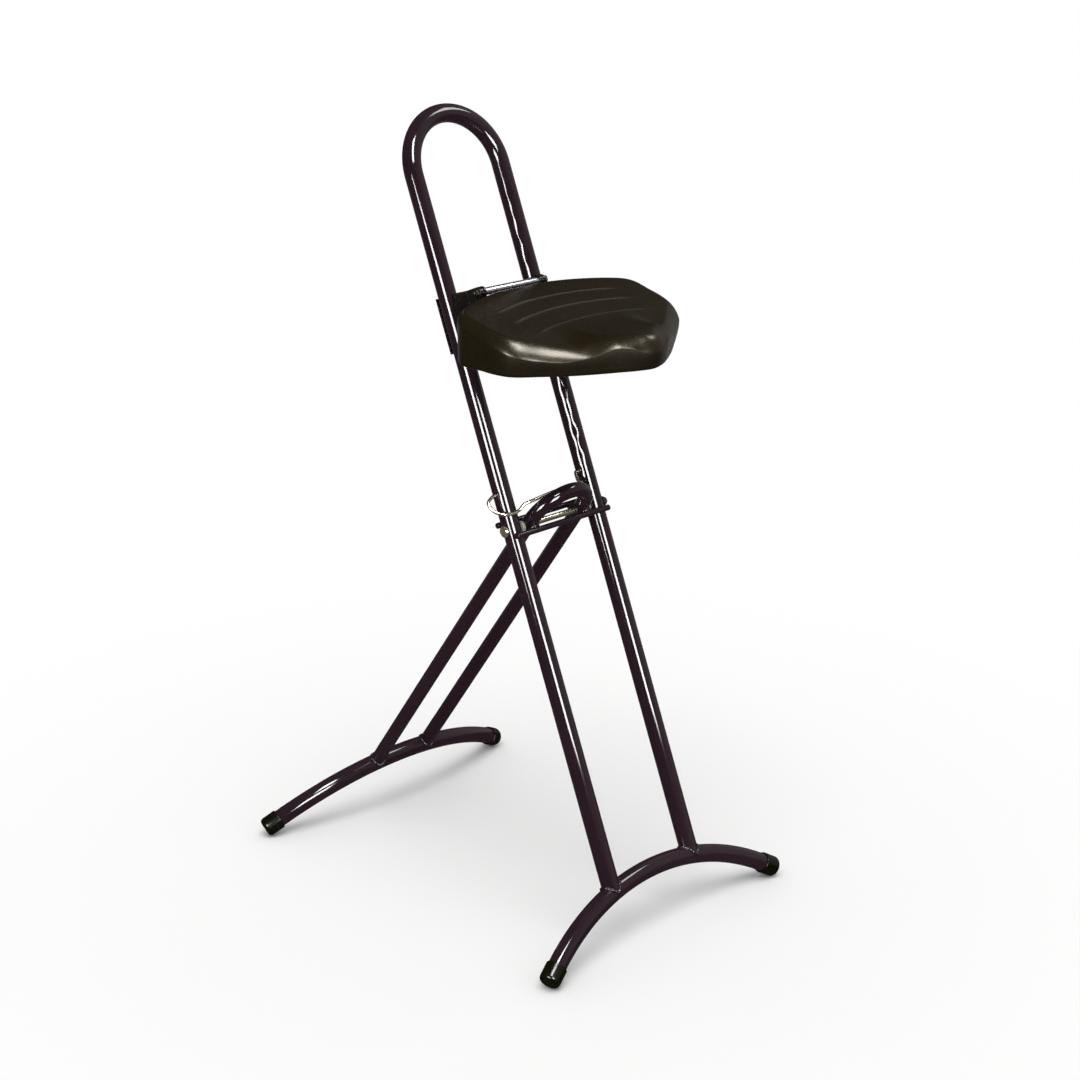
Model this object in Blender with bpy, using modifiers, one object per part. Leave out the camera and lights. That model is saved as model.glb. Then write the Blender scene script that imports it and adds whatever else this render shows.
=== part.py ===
# Folding sit-stand stool with a height-adjustable, flip-up seat.
#
# Metres, +Z up. The stool stands on z = 0 with its origin at the bottom centre of its box.
# The seat's nose and the front legs point to -Y, and left and right are as seen from there.
# Two tube frames cross at one bolt. In a frame's own axes, z runs up along its tubes from the
# bolt and y is square to its plane, away from the sitter.

import math

import bmesh
import bpy
from mathutils import Matrix, Vector

# Clearances
CLEAR = 0.0003              # gap between neighbouring pieces, and round bolts and pins
OVERRUN = 0.0040            # how far a cutter passes the face it cuts
MERGE = 0.000002            # points closer than this are one

# Front frame: an upside-down U of tube, coped and welded to a bowed foot bar
FRONT_LEAN = math.radians(22.55)
LEG_SPACING = 0.1528
TUBE_RADIUS = 0.0125
TUBE_WALL = 0.0015
HANDLE_REACH = 0.5539       # bolt to the top of the handle's centreline
FRONT_LEG = 0.4995          # bolt to the foot bar's centreline
FRONT_BOW_WIDTH = 0.4382
FRONT_BOW_RISE = 0.0760
FRONT_BOW_LEAN = math.radians(2.4)

# Rear frame: a narrower U that swings between the front tubes
ARM_SPACING = 0.0960
ARM_RADIUS = 0.0100
ARM_WALL = 0.0015
ARCH_START = 0.0060         # straight part of the arms above the bolt
REAR_LEG = 0.5703
REAR_BOW_WIDTH = 0.4511
REAR_BOW_RISE = 0.0738
REAR_BOW_LEAN = math.radians(3.8)

# Foot bars and their plastic caps
BOW_RADIUS = 0.0125
BOW_WALL = 0.0015
BOW_STRAIGHT = 0.0240       # straight ends that the caps slide on
CAP_RADIUS = 0.0144
CAP_LENGTH = 0.0260
CAP_END = 0.0037            # thickness of the closed end
CAP_EDGE = 0.0040
CAP_LIP = 0.0006
SOLE_CUT = 0.0006           # depth of the flat under each cap

# Pivot bolt, nut, spacers and bushes
BOLT_RADIUS = 0.0040
BOLT_CHAMFER = 0.0008
HEAD_RADIUS = 0.0078
HEAD_HEIGHT = 0.0046
HEAD_LAND = 0.0012          # straight side of the domed head
SLOT_WIDTH = 0.0018
SLOT_DEPTH = 0.0018
NUT_RADIUS = 0.0075         # over the corners
NUT_HEIGHT = 0.0050
NUT_DOME = 0.0058
NUT_DEPTH = 0.0078          # blind hole
SPACER_RADIUS = 0.0078
BUSH_RADIUS = 0.0056
FLANGE_RADIUS = 0.0080
FLANGE_THICK = 0.0020

# Stop rods across the rear arms
ROD_RADIUS = 0.0040
ROD_LENGTH = 0.1710
WELD_RADIUS = 0.0034
WELD_LENGTH = 0.0130
WELD_SINK = 0.0018          # the bead's axis stands this far off the arm

# Latch bail of bent wire, hooked into one hole in each front tube
WIRE_RADIUS = 0.00225
BAIL_HEIGHT = 0.0486
BAIL_DROP = 0.0280          # how far the loop hangs below its holes
BAIL_ROUND = 0.01505        # the wire's path round the tube: both radii and a clearance
BAIL_PLAY = 0.0005          # radial gap in its holes
BAIL_LEFT_TUCK = 0.0036     # the left end stops this far outside its tube's axis
BAIL_RIGHT_TUCK = 0.0044

# Seat carriage: a channel guide on the inner side of each front tube
CARRIAGE_TOP = 0.3165
GUIDE_LENGTH = 0.0745       # of the rear flange
GUIDE_PLATE = 0.0030
GUIDE_INNER = 0.0540        # inner face of the side plates
REAR_FLANGE_REACH = 0.0845
FRONT_FLANGE_REACH = 0.0900
FRONT_FLANGE_LENGTH = 0.0970
GUIDE_THROAT = 0.0500       # how far the side plate drops below the axle
LINER_LENGTH = 0.0640
LINER_DROP = 0.0060
LINER_REACH = 0.0700

# Axle across the guides
AXLE_UP = 0.3085
AXLE_FORWARD = 0.0385
EAR_RADIUS = 0.0076
AXLE_BOLT_RADIUS = 0.0030
SLEEVE_RADIUS = 0.0050
HEX_RADIUS = 0.0058         # over the corners of the axle's head and nut
HEX_HEIGHT = 0.0045
AXLE_END = 0.0030           # bolt showing past its nut
WASHER_RADIUS = 0.0070
WASHER_THICK = 0.0014

# Seat pad
SEAT_DEPTH = 0.2610
SEAT_HALF_WIDTH = 0.1522
SEAT_AHEAD = 0.0084         # the pad starts this far in front of the axle
SEAT_FALL = 0.0402          # from the axle's level down to the nose
SIDE_RISE = 0.0028           # the sides stand this much above the middle
SEAT_RIM = 0.0130
NOSE_RIM = 0.0175
SEAT_UNDER = 0.0665         # from the axle's level down to the underside at the rear
UNDER_RISE = 0.0040         # the underside climbs this much towards the nose
UNDER_ROUND = 0.0050
SEAT_DRAFT = 0.0023

# Seat support: a plate under the pad, a web behind it, two lugs on the axle, a clamp bar
SUPPORT_PLATE = 0.0025
SUPPORT_HALF = 0.0515
SUPPORT_LENGTH = 0.1500
WEB_TOP = 0.0180            # below the axle
LUG_RADIUS = 0.0078
LUG_REAR = 0.0040
CLAMP_HALF = 0.0860
CLAMP_HEIGHT = 0.0180
SHOE_INNER = 0.0640
SHOE_WIDTH = 0.0180
SHOE_DROP = 0.0030          # the shoes stop this far above the clamp bar's lower edge
SCREW_RADIUS = 0.0025
SCREW_HEAD_RADIUS = 0.0048
SCREW_HEAD_HEIGHT = 0.0026
SCREW_LENGTH = 0.0160
SCREW_INSET = 0.0200

# How finely round things are divided
TUBE_SIDES = 14
WIRE_SIDES = 8
ROUND_STEPS = 20
BEND_STEPS = 16
CURVE_STEPS = 3

# Seat outline from the rear middle round the right side to the nose: half-width, depth
OUTLINE_SHARES = ((0.00, 0.002), (0.20, 0.003), (0.356, 0.023), (0.983, 0.213), (1.000, 0.607),
                  (0.632, 0.741), (0.426, 0.829), (0.277, 0.907), (0.200, 0.950), (0.00, 1.000))
# Top of the pad along its middle: depth, height above the axle over SEAT_FALL
TOP_SHARES = ((0.00, 0.04), (0.08, 0.08), (0.15, 0.04), (0.27, -0.10), (0.38, -0.26),
              (0.54, -0.47), (0.69, -0.68), (0.84, -0.90), (1.00, -1.00))
# The rings of the pad's crown, as shares of the way in from its rim
CROWN_SHARES = (0.12, 0.28, 0.48, 0.72)
# Bail round the left tube: out from its axis, drop, forward
LOOP_SHARES = ((-0.771, 0.000, 0.000), (-1.070, 0.000, 0.000), (-1.688, 0.161, 0.013),
               (-1.847, 0.375, 0.106), (-1.628, 0.725, 0.405), (-1.037, 0.961, 0.870),
               (-0.186, 1.000, 0.983), (0.518, 0.932, 1.083), (1.023, 0.739, 1.355))
# Bail across the arms: out from the middle, drop, forward
BAR_SHARES = ((-0.969, 0.668, 1.661), (-0.048, 0.554, 1.402), (0.892, 0.550, 1.369),
              (1.079, 0.375, 0.538), (1.219, 0.025, 0.033))
# Front flange's free edge: how far it is from the side plate to the full reach, and how far down
FLANGE_SHARES = ((0.667, 0.000), (0.833, 0.300), (0.833, 0.490), (0.903, 0.680), (1.000, 0.795),
                 (0.985, 0.835), (0.930, 0.880), (0.500, 1.000))
SCREW_DEPTH_SHARES = (0.20, 0.80)


# Shared geometry


def catmull_rom(points, steps, closed=False):
    """A smooth curve through the points, with steps to each span."""
    count = len(points)
    smooth = []
    for i in range(count if closed else count - 1):
        if closed:
            a, b, c, d = (points[(i + k) % count] for k in (-1, 0, 1, 2))
        else:
            b, c = points[i], points[i + 1]
            a = points[i - 1] if i > 0 else 2 * b - c
            d = points[i + 2] if i + 2 < count else 2 * c - b
        for k in range(steps):
            t = k / steps
            smooth.append(0.5 * (2 * b + (c - a) * t + (2 * a - 5 * b + 4 * c - d) * t ** 2
                                 + (3 * b - a - 3 * c + d) * t ** 3))
    if not closed:
        smooth.append(points[-1])
    return smooth


def arc(centre, radius, start, stop, steps):
    """Points of an arc in a plane, angles in degrees."""
    angles = [math.radians(start + (stop - start) * i / steps) for i in range(steps + 1)]
    return [(centre[0] + radius * math.cos(a), centre[1] + radius * math.sin(a))
            for a in angles]


def bow_radius(width, rise):
    return (width * width / 4 + rise * rise) / (2 * rise)


def bow_angle(width, rise):
    """Half the angle of a foot bar's bend, which stops where its straight ends start."""
    radius = bow_radius(width, rise)
    return math.asin(width / 2 / radius) - BOW_STRAIGHT / radius


def bow_drop(width, rise, spacing):
    """From where the legs meet a foot bar down to its ends, in the bar's plane."""
    radius = bow_radius(width, rise)
    angle = bow_angle(width, rise)
    end = radius * math.cos(angle) - BOW_STRAIGHT * math.sin(angle)
    return math.sqrt(radius * radius - spacing * spacing / 4) - end


def cap_extent(slope):
    """How far a cap's outline passes the foot bar's end, along an axis that the bar's end
    meets with this direction cosine."""
    ring = CAP_RADIUS - CAP_EDGE
    return ring * math.sqrt(1 - slope * slope) + CAP_EDGE + (CAP_END + CLEAR - CAP_EDGE) * slope


def foot_height(width, rise, lean):
    """Height of a foot bar's end above the floor."""
    return cap_extent(math.sin(bow_angle(width, rise)) * math.cos(lean)) - SOLE_CUT


def foot_reach(width, rise, lean):
    """How far the cap reaches past the foot bar's end, along the floor."""
    return cap_extent(math.sin(bow_angle(width, rise)) * math.sin(lean))


def rear_lean(pivot_height):
    """Lean of the rear arms that puts all four feet on the floor."""
    drop = bow_drop(REAR_BOW_WIDTH, REAR_BOW_RISE, ARM_SPACING)
    along = REAR_LEG + drop * math.cos(REAR_BOW_LEAN)
    across = drop * math.sin(REAR_BOW_LEAN)
    lean = FRONT_LEAN
    for _ in range(BEND_STEPS):
        height = foot_height(REAR_BOW_WIDTH, REAR_BOW_RISE, lean - REAR_BOW_LEAN)
        lean = math.atan2(across, along) + math.acos(
            (pivot_height - height) / math.hypot(along, across))
    return lean


FRONT_DROP = bow_drop(FRONT_BOW_WIDTH, FRONT_BOW_RISE, LEG_SPACING)
REAR_DROP = bow_drop(REAR_BOW_WIDTH, REAR_BOW_RISE, ARM_SPACING)
FRONT_FOOT_LEAN = FRONT_LEAN + FRONT_BOW_LEAN
PIVOT_Z = (FRONT_LEG * math.cos(FRONT_LEAN) + FRONT_DROP * math.cos(FRONT_FOOT_LEAN)
           + foot_height(FRONT_BOW_WIDTH, FRONT_BOW_RISE, FRONT_FOOT_LEAN))
REAR_LEAN = rear_lean(PIVOT_Z)
REAR_FOOT_LEAN = REAR_LEAN - REAR_BOW_LEAN
FRONT_REACH = (FRONT_LEG * math.sin(FRONT_LEAN) + FRONT_DROP * math.sin(FRONT_FOOT_LEAN)
               + foot_reach(FRONT_BOW_WIDTH, FRONT_BOW_RISE, FRONT_FOOT_LEAN))
REAR_REACH = (REAR_LEG * math.sin(REAR_LEAN) + REAR_DROP * math.sin(REAR_FOOT_LEAN)
              + foot_reach(REAR_BOW_WIDTH, REAR_BOW_RISE, REAR_FOOT_LEAN))
PIVOT_Y = (FRONT_REACH - REAR_REACH) / 2

# Faces that several pieces share
TUBE_INNER = LEG_SPACING / 2 - TUBE_RADIUS
TUBE_OUTER = LEG_SPACING / 2 + TUBE_RADIUS
ARM_INNER = ARM_SPACING / 2 - ARM_RADIUS
ARM_OUTER = ARM_SPACING / 2 + ARM_RADIUS
GUIDE_OUTER = GUIDE_INNER + GUIDE_PLATE
FLANGE_INNER = TUBE_RADIUS + CLEAR
FLANGE_OUTER = FLANGE_INNER + GUIDE_PLATE


# Modelling helpers


def clear_scene():
    for obj in list(bpy.data.objects):
        bpy.data.objects.remove(obj, do_unlink=True)
    for collection in list(bpy.data.collections):
        bpy.data.collections.remove(collection)


def new_collection(name):
    collection = bpy.data.collections.new(name)
    bpy.context.scene.collection.children.link(collection)
    return collection


def new_material(name, color, roughness, metallic=0.0):
    material = bpy.data.materials.new(name)
    material.use_nodes = True
    shader = material.node_tree.nodes["Principled BSDF"]
    shader.inputs["Base Color"].default_value = (*color, 1.0)
    shader.inputs["Roughness"].default_value = roughness
    shader.inputs["Metallic"].default_value = metallic
    return material


def axes(name, parent=None, location=(0, 0, 0), lean=0.0):
    """An empty that carries a frame's own axes, turned back by lean about X."""
    empty = bpy.data.objects.new(name, None)
    empty.location = location
    empty.rotation_euler = (lean, 0, 0)
    empty.parent = parent
    CUTTERS.objects.link(empty)
    return empty


def smooth(mesh):
    mesh.shade_smooth()
    mesh.set_sharp_from_angle(angle=math.radians(35))


def piece(name, mesh, material, parent, matrix=Matrix()):
    """One named sub-part, placed in its parent's axes."""
    smooth(mesh)
    obj = bpy.data.objects.new(name, mesh)
    obj.data.materials.append(material)
    obj.parent = parent
    obj.matrix_local = matrix
    PARTS.objects.link(obj)
    return obj


def cutter(name, mesh, parent=None, matrix=Matrix()):
    obj = bpy.data.objects.new(name, mesh)
    obj.parent = parent
    obj.matrix_local = matrix
    obj.hide_render = True
    obj.display_type = "WIRE"
    CUTTERS.objects.link(obj)
    return obj


def combine(obj, other, operation="DIFFERENCE"):
    modifier = obj.modifiers.new(other.name, "BOOLEAN")
    modifier.operation = operation
    modifier.object = other


def evaluated_mesh(obj):
    """The object's mesh with its modifiers worked in and its doubles merged."""
    bpy.context.view_layer.update()
    graph = bpy.context.evaluated_depsgraph_get()
    mesh = bpy.data.meshes.new_from_object(obj.evaluated_get(graph))
    mesh.name = obj.name
    work = bmesh.new()
    work.from_mesh(mesh)
    bmesh.ops.remove_doubles(work, verts=work.verts, dist=MERGE)
    work.to_mesh(mesh)
    work.free()
    return mesh


def mesh_from(obj):
    """Turn a helper object into its evaluated mesh, and remove the object."""
    mesh = evaluated_mesh(obj)
    bpy.data.objects.remove(obj, do_unlink=True)
    return mesh


def joined(name, meshes):
    """One closed mesh from several that overlap."""
    base = bpy.data.objects.new(name, meshes[0])
    CUTTERS.objects.link(base)
    others = []
    for number, mesh in enumerate(meshes[1:]):
        other = cutter(f"{name}_{number}", mesh)
        combine(base, other, "UNION")
        others.append(other)
    mesh = mesh_from(base)
    for other in others:
        bpy.data.objects.remove(other, do_unlink=True)
    return mesh


def mirrored(mesh):
    """The same mesh for the other side of the stool."""
    work = bmesh.new()
    work.from_mesh(mesh)
    bmesh.ops.scale(work, vec=(-1, 1, 1), verts=work.verts)
    bmesh.ops.reverse_faces(work, faces=work.faces)
    copy = bpy.data.meshes.new(mesh.name)
    work.to_mesh(copy)
    work.free()
    return copy


def placed(mesh, matrix):
    mesh.transform(matrix)
    return mesh


def tube(points, radius, sides, wall=None):
    """A round bar along the points, or a pipe when it has a wall."""
    curve = bpy.data.curves.new("tube", "CURVE")
    curve.dimensions = "3D"
    curve.bevel_depth = radius
    curve.bevel_resolution = sides // 2 - 2
    curve.use_fill_caps = wall is None
    spline = curve.splines.new("POLY")
    spline.points.add(len(points) - 1)
    for target, point in zip(spline.points, points):
        target.co = (*point, 1.0)
    path = bpy.data.objects.new("tube", curve)
    CUTTERS.objects.link(path)
    mesh = mesh_from(path)
    if wall is None:
        return mesh
    shell = bpy.data.objects.new("tube", mesh)
    CUTTERS.objects.link(shell)
    solidify = shell.modifiers.new("wall", "SOLIDIFY")
    solidify.thickness = wall
    solidify.offset = -1
    return mesh_from(shell)


def rod(start, stop, radius, along="X", place=(0, 0), steps=ROUND_STEPS):
    """A plain round bar along X or Z, from start to stop."""
    work = bmesh.new()
    bmesh.ops.create_cone(work, cap_ends=True, segments=steps, radius1=radius, radius2=radius,
                          depth=stop - start)
    mesh = bpy.data.meshes.new("rod")
    work.to_mesh(mesh)
    work.free()
    middle = (start + stop) / 2
    if along == "X":
        turn = Matrix.Rotation(math.pi / 2, 4, "Y")
        return placed(mesh, Matrix.Translation((middle, *place)) @ turn)
    return placed(mesh, Matrix.Translation((*place, middle)))


def box(low, high):
    work = bmesh.new()
    bmesh.ops.create_cube(work, size=1.0)
    mesh = bpy.data.meshes.new("box")
    work.to_mesh(mesh)
    work.free()
    low, high = Vector(low), Vector(high)
    size = Matrix.Diagonal((*(high - low), 1))
    return placed(mesh, Matrix.Translation((low + high) / 2) @ size)


def plate(outline, low, high, normal="X"):
    """A flat plate from low to high along X, with its outline in (y, z), or along Y, with its
    outline in (x, z)."""
    curve = bpy.data.curves.new("plate", "CURVE")
    curve.dimensions = "2D"
    curve.fill_mode = "BOTH"
    curve.extrude = (high - low) / 2
    spline = curve.splines.new("POLY")
    spline.use_cyclic_u = True
    spline.points.add(len(outline) - 1)
    for target, (a, b) in zip(spline.points, outline):
        target.co = (a, b, 0, 1.0)
    flat = bpy.data.objects.new("plate", curve)
    CUTTERS.objects.link(flat)
    mesh = mesh_from(flat)
    middle = (low + high) / 2
    if normal == "X":
        turn = Matrix(((0, 0, 1, middle), (1, 0, 0, 0), (0, 1, 0, 0), (0, 0, 0, 1)))
    else:
        turn = Matrix(((1, 0, 0, 0), (0, 0, -1, middle), (0, 1, 0, 0), (0, 0, 0, 1)))
    return placed(mesh, turn)


def turned(profile, ring=False):
    """A turned shape about Z, from a profile of (radius, height) that runs down its outer
    side. A ring's profile is closed."""
    mesh = bpy.data.meshes.new("turned")
    count = len(profile)
    edges = [(i, (i + 1) % count) for i in range(count if ring else count - 1)]
    mesh.from_pydata([(radius, 0, height) for radius, height in profile], edges, [])
    obj = bpy.data.objects.new("turned", mesh)
    CUTTERS.objects.link(obj)
    screw = obj.modifiers.new("turn", "SCREW")
    screw.steps = ROUND_STEPS
    screw.render_steps = ROUND_STEPS
    screw.use_merge_vertices = True
    screw.merge_threshold = MERGE
    return mesh_from(obj)


def along_x(distance, side=1, place=(0, 0)):
    """Puts a turned piece's axis on X, with its own z pointing out to this side."""
    turn = Matrix.Rotation(side * math.pi / 2, 4, "Y")
    return Matrix.Translation((side * distance, *place)) @ turn


def ring_profile(outer, inner, low, high):
    return [(outer, high), (outer, low), (inner, low), (inner, high)]


# Front and rear frames


def bow_points(leg, lean, width, rise, spacing):
    """Centreline of a foot bar in its frame's axes: straight ends and a bend between."""
    radius = bow_radius(width, rise)
    bend = bow_angle(width, rise)
    junction = math.sqrt(radius * radius - spacing * spacing / 4)
    flat = [(radius * math.sin(a), radius * math.cos(a) - junction)
            for a in (bend * (2 * i / BEND_STEPS - 1) for i in range(BEND_STEPS + 1))]
    run = (BOW_STRAIGHT * math.cos(bend), -BOW_STRAIGHT * math.sin(bend))
    flat.insert(0, (flat[0][0] - run[0], flat[0][1] + run[1]))
    flat.append((flat[-1][0] + run[0], flat[-1][1] + run[1]))
    return [Vector((x, t * math.sin(lean), t * math.cos(lean) - leg)) for x, t in flat]


def hoop_points(spacing, bend_start, foot):
    """Centreline of an upside-down U in its frame's axes."""
    radius = spacing / 2
    top = arc((0, bend_start), radius, 180, 0, BEND_STEPS)
    return [Vector((x, 0, z)) for x, z in [(-radius, -foot)] + top + [(radius, -foot)]]


def foot_bar(name, caps, frame, leg, lean, width, rise, spacing):
    """A foot bar with its two caps. Returns the shape that copes the legs on to it."""
    points = bow_points(leg, lean, width, rise, spacing)
    piece(name, tube(points, BOW_RADIUS, TUBE_SIDES, BOW_WALL), PAINT, frame)
    for side, end, before in (("left", points[0], points[1]), ("right", points[-1], points[-2])):
        foot_cap(f"{caps}_{side}", frame, end, (end - before).normalized())
    return cutter(f"{name}_cope", tube(points, BOW_RADIUS + CLEAR, TUBE_SIDES), frame)


def foot_cap(name, frame, end, direction):
    top = CAP_END + CLEAR
    low = top - CAP_LENGTH
    inner = BOW_RADIUS + CLEAR
    profile = [(0, top)]
    profile += [(x, z) for x, z in arc((CAP_RADIUS - CAP_EDGE, top - CAP_EDGE), CAP_EDGE,
                                       90, 0, CURVE_STEPS)]
    profile += [(CAP_RADIUS, low + CAP_LIP), (CAP_RADIUS - CAP_LIP, low), (inner, low),
                (inner, CLEAR), (0, CLEAR)]
    matrix = Matrix.Translation(end) @ direction.to_track_quat("Z", "Y").to_matrix().to_4x4()
    combine(piece(name, turned(profile), CAP_PLASTIC, frame, matrix), FLOOR)


def front_frame():
    cope = foot_bar("front_foot_bow", "front_foot_cap", FRONT, FRONT_LEG, FRONT_BOW_LEAN,
                    FRONT_BOW_WIDTH, FRONT_BOW_RISE, LEG_SPACING)
    bend = HANDLE_REACH - LEG_SPACING / 2
    hoop = piece("front_frame_tube", tube(hoop_points(LEG_SPACING, bend, FRONT_LEG),
                                          TUBE_RADIUS, TUBE_SIDES, TUBE_WALL), PAINT, FRONT)
    past = TUBE_OUTER + OVERRUN
    wire_hole = WIRE_RADIUS + BAIL_PLAY
    combine(hoop, cope)
    combine(hoop, cutter("pivot_hole", rod(-past, past, BOLT_RADIUS + CLEAR), FRONT))
    combine(hoop, cutter("bail_hole_left", rod(-past, -LEG_SPACING / 2, wire_hole,
                                               place=(0, BAIL_HEIGHT)), FRONT))
    combine(hoop, cutter("bail_hole_right", rod(TUBE_INNER - OVERRUN, LEG_SPACING / 2, wire_hole,
                                                place=(0, BAIL_HEIGHT)), FRONT))


def rear_frame():
    cope = foot_bar("rear_foot_bow", "rear_foot_cap", REAR, REAR_LEG, REAR_BOW_LEAN,
                    REAR_BOW_WIDTH, REAR_BOW_RISE, ARM_SPACING)
    hoop = piece("rear_frame_tube", tube(hoop_points(ARM_SPACING, ARCH_START, REAR_LEG),
                                         ARM_RADIUS, TUBE_SIDES, ARM_WALL), PAINT, REAR)
    past = ARM_OUTER + OVERRUN
    combine(hoop, cope)
    combine(hoop, cutter("bush_hole", rod(-past, past, BUSH_RADIUS + CLEAR), REAR))


# Pivot


def pivot_bolt():
    under_head = TUBE_OUTER + CLEAR
    length = 2 * under_head + NUT_DEPTH - CLEAR
    dome = [(HEAD_RADIUS * math.cos(a), -HEAD_LAND - (HEAD_HEIGHT - HEAD_LAND) * math.sin(a))
            for a in (math.pi / 2 * i / CURVE_STEPS for i in range(CURVE_STEPS))]
    profile = [(0, length), (BOLT_RADIUS - BOLT_CHAMFER, length),
               (BOLT_RADIUS, length - BOLT_CHAMFER), (BOLT_RADIUS, 0), (HEAD_RADIUS, 0)]
    profile += dome + [(0, -HEAD_HEIGHT)]
    turn = Matrix.Translation((-under_head, 0, 0)) @ Matrix.Rotation(math.pi / 2, 4, "Y")
    bolt = piece("pivot_bolt", turned(profile), ZINC, FRONT, turn)
    past = HEAD_RADIUS + OVERRUN
    slot = box((-SLOT_WIDTH / 2, -past, -HEAD_HEIGHT - OVERRUN),
               (SLOT_WIDTH / 2, past, -HEAD_HEIGHT + SLOT_DEPTH))
    combine(bolt, cutter("slot", slot, FRONT, turn @ Matrix.Rotation(math.pi / 4, 4, "Z")))


def hexagon(corner, low, high):
    return rod(low, high, corner, along="Z", steps=6)


def pivot_nut():
    bore = BOLT_RADIUS + CLEAR
    flat = NUT_RADIUS * math.cos(math.pi / 6) - CLEAR
    dome = [(flat * math.cos(a), NUT_HEIGHT + NUT_DOME * math.sin(a))
            for a in (math.pi / 2 * i / CURVE_STEPS for i in range(CURVE_STEPS, -1, -1))]
    profile = [(0, NUT_HEIGHT + NUT_DOME)] + dome[1:]
    profile += [(NUT_RADIUS, NUT_HEIGHT), (NUT_RADIUS, 0), (bore, 0), (bore, NUT_DEPTH),
                (0, NUT_DEPTH)]
    matrix = along_x(TUBE_OUTER + CLEAR)
    nut = piece("pivot_nut", turned(profile), DARK_STEEL, FRONT, matrix)
    shape = hexagon(NUT_RADIUS, -OVERRUN, NUT_HEIGHT + NUT_DOME + OVERRUN)
    combine(nut, cutter("nut_hexagon", shape, FRONT, matrix), "INTERSECT")


def pivot_spacers_and_bushes():
    bore = BOLT_RADIUS + CLEAR
    gap = TUBE_INNER - ARM_OUTER
    spacer = ring_profile(SPACER_RADIUS, bore, CLEAR, gap - CLEAR)
    under_flange = ARM_INNER - CLEAR
    sleeve = ARM_OUTER - under_flange
    bush = [(BUSH_RADIUS, sleeve), (BUSH_RADIUS, 0), (FLANGE_RADIUS, 0),
            (FLANGE_RADIUS, -FLANGE_THICK), (bore, -FLANGE_THICK), (bore, sleeve)]
    for name, side in SIDES:
        piece(f"pivot_spacer_{name}", turned(spacer, ring=True), NYLON, FRONT,
              along_x(ARM_OUTER, side))
        piece(f"pivot_bush_{name}", turned(bush, ring=True), BUSH_PLASTIC, REAR,
              along_x(under_flange, side))


def stop_rods():
    """Rods welded across the arms. They bear on the front tubes when the stool stands open,
    one in front below the bolt and one behind above it."""
    opening = FRONT_LEAN + REAR_LEAN
    forward = TUBE_RADIUS + ROD_RADIUS + CLEAR
    drop = forward * math.tan(opening / 2)
    back = -drop * math.sin(opening) - forward * math.cos(opening)
    up = -drop * math.cos(opening) + forward * math.sin(opening)
    arms = [cutter(f"arm_{name}", rod(-REAR_LEG, ARCH_START + WELD_LENGTH, ARM_RADIUS + CLEAR,
                                      "Z", (side * ARM_SPACING / 2, 0)), REAR)
            for name, side in SIDES]
    for name, side in (("stop_rod_front", 1), ("stop_rod_rear", -1)):
        shapes = [rod(-ROD_LENGTH / 2, ROD_LENGTH / 2, ROD_RADIUS, place=(side * back, side * up))]
        for _, hand in SIDES:
            middle = hand * ARM_SPACING / 2
            bead = (math.copysign(ARM_RADIUS + WELD_SINK, side * back), side * up)
            shapes.append(rod(middle - WELD_LENGTH / 2, middle + WELD_LENGTH / 2, WELD_RADIUS,
                              place=bead))
        welded = piece(name, joined(name, shapes), PAINT, REAR)
        for arm in arms:
            combine(welded, arm)


def latch_bail():
    half = LEG_SPACING / 2
    path = [(-half - BAIL_LEFT_TUCK, 0, 0)]
    path += [(-half + out * BAIL_ROUND, -ahead * BAIL_ROUND, -drop * BAIL_DROP)
             for out, drop, ahead in LOOP_SHARES]
    path += [(out * ARM_SPACING / 2, -ahead * BAIL_ROUND, -drop * BAIL_DROP)
             for out, drop, ahead in BAR_SHARES]
    path += [(TUBE_INNER, 0, 0), (half - BAIL_RIGHT_TUCK, 0, 0)]
    wire = tube(catmull_rom([Vector(p) for p in path], CURVE_STEPS), WIRE_RADIUS, WIRE_SIDES)
    piece("latch_bail", wire, ZINC, BAIL)


# Seat carriage


def guide_mesh():
    """The right-hand guide: side plate with its axle ear, rear flange, front flange."""
    top = CARRIAGE_TOP
    low = top - FRONT_FLANGE_LENGTH
    rear_low = top - GUIDE_LENGTH
    throat = AXLE_UP - GUIDE_THROAT
    ear = arc((-AXLE_FORWARD, AXLE_UP), EAR_RADIUS, 90, 200, 2 * CURVE_STEPS)
    fold = FLANGE_INNER + GUIDE_PLATE / 2
    side = [(fold, rear_low), (fold, top), (0, top)] + ear
    side += [(-FLANGE_OUTER, throat), (-fold, throat), (-fold, low + GUIDE_PLATE)]
    span = FRONT_FLANGE_REACH - GUIDE_OUTER
    edge = [(GUIDE_OUTER + out * span, top - down * FRONT_FLANGE_LENGTH)
            for out, down in FLANGE_SHARES]
    middle = GUIDE_INNER + GUIDE_PLATE / 2
    front = [(middle, low), (middle, top)] + edge
    rear = box((middle, FLANGE_INNER, rear_low), (REAR_FLANGE_REACH, FLANGE_OUTER, top))
    bore = rod(GUIDE_INNER - OVERRUN, GUIDE_OUTER + OVERRUN, AXLE_BOLT_RADIUS + CLEAR,
               place=(-AXLE_FORWARD, AXLE_UP))
    mesh = joined("guide", [plate(side[::-1], GUIDE_INNER, GUIDE_OUTER), rear,
                            plate(front[::-1], -FLANGE_OUTER, -FLANGE_INNER, "Y")])
    guide = bpy.data.objects.new("guide", mesh)
    CUTTERS.objects.link(guide)
    hole = cutter("axle_hole", bore)
    combine(guide, hole)
    mesh = mesh_from(guide)
    bpy.data.objects.remove(hole, do_unlink=True)
    return mesh


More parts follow.
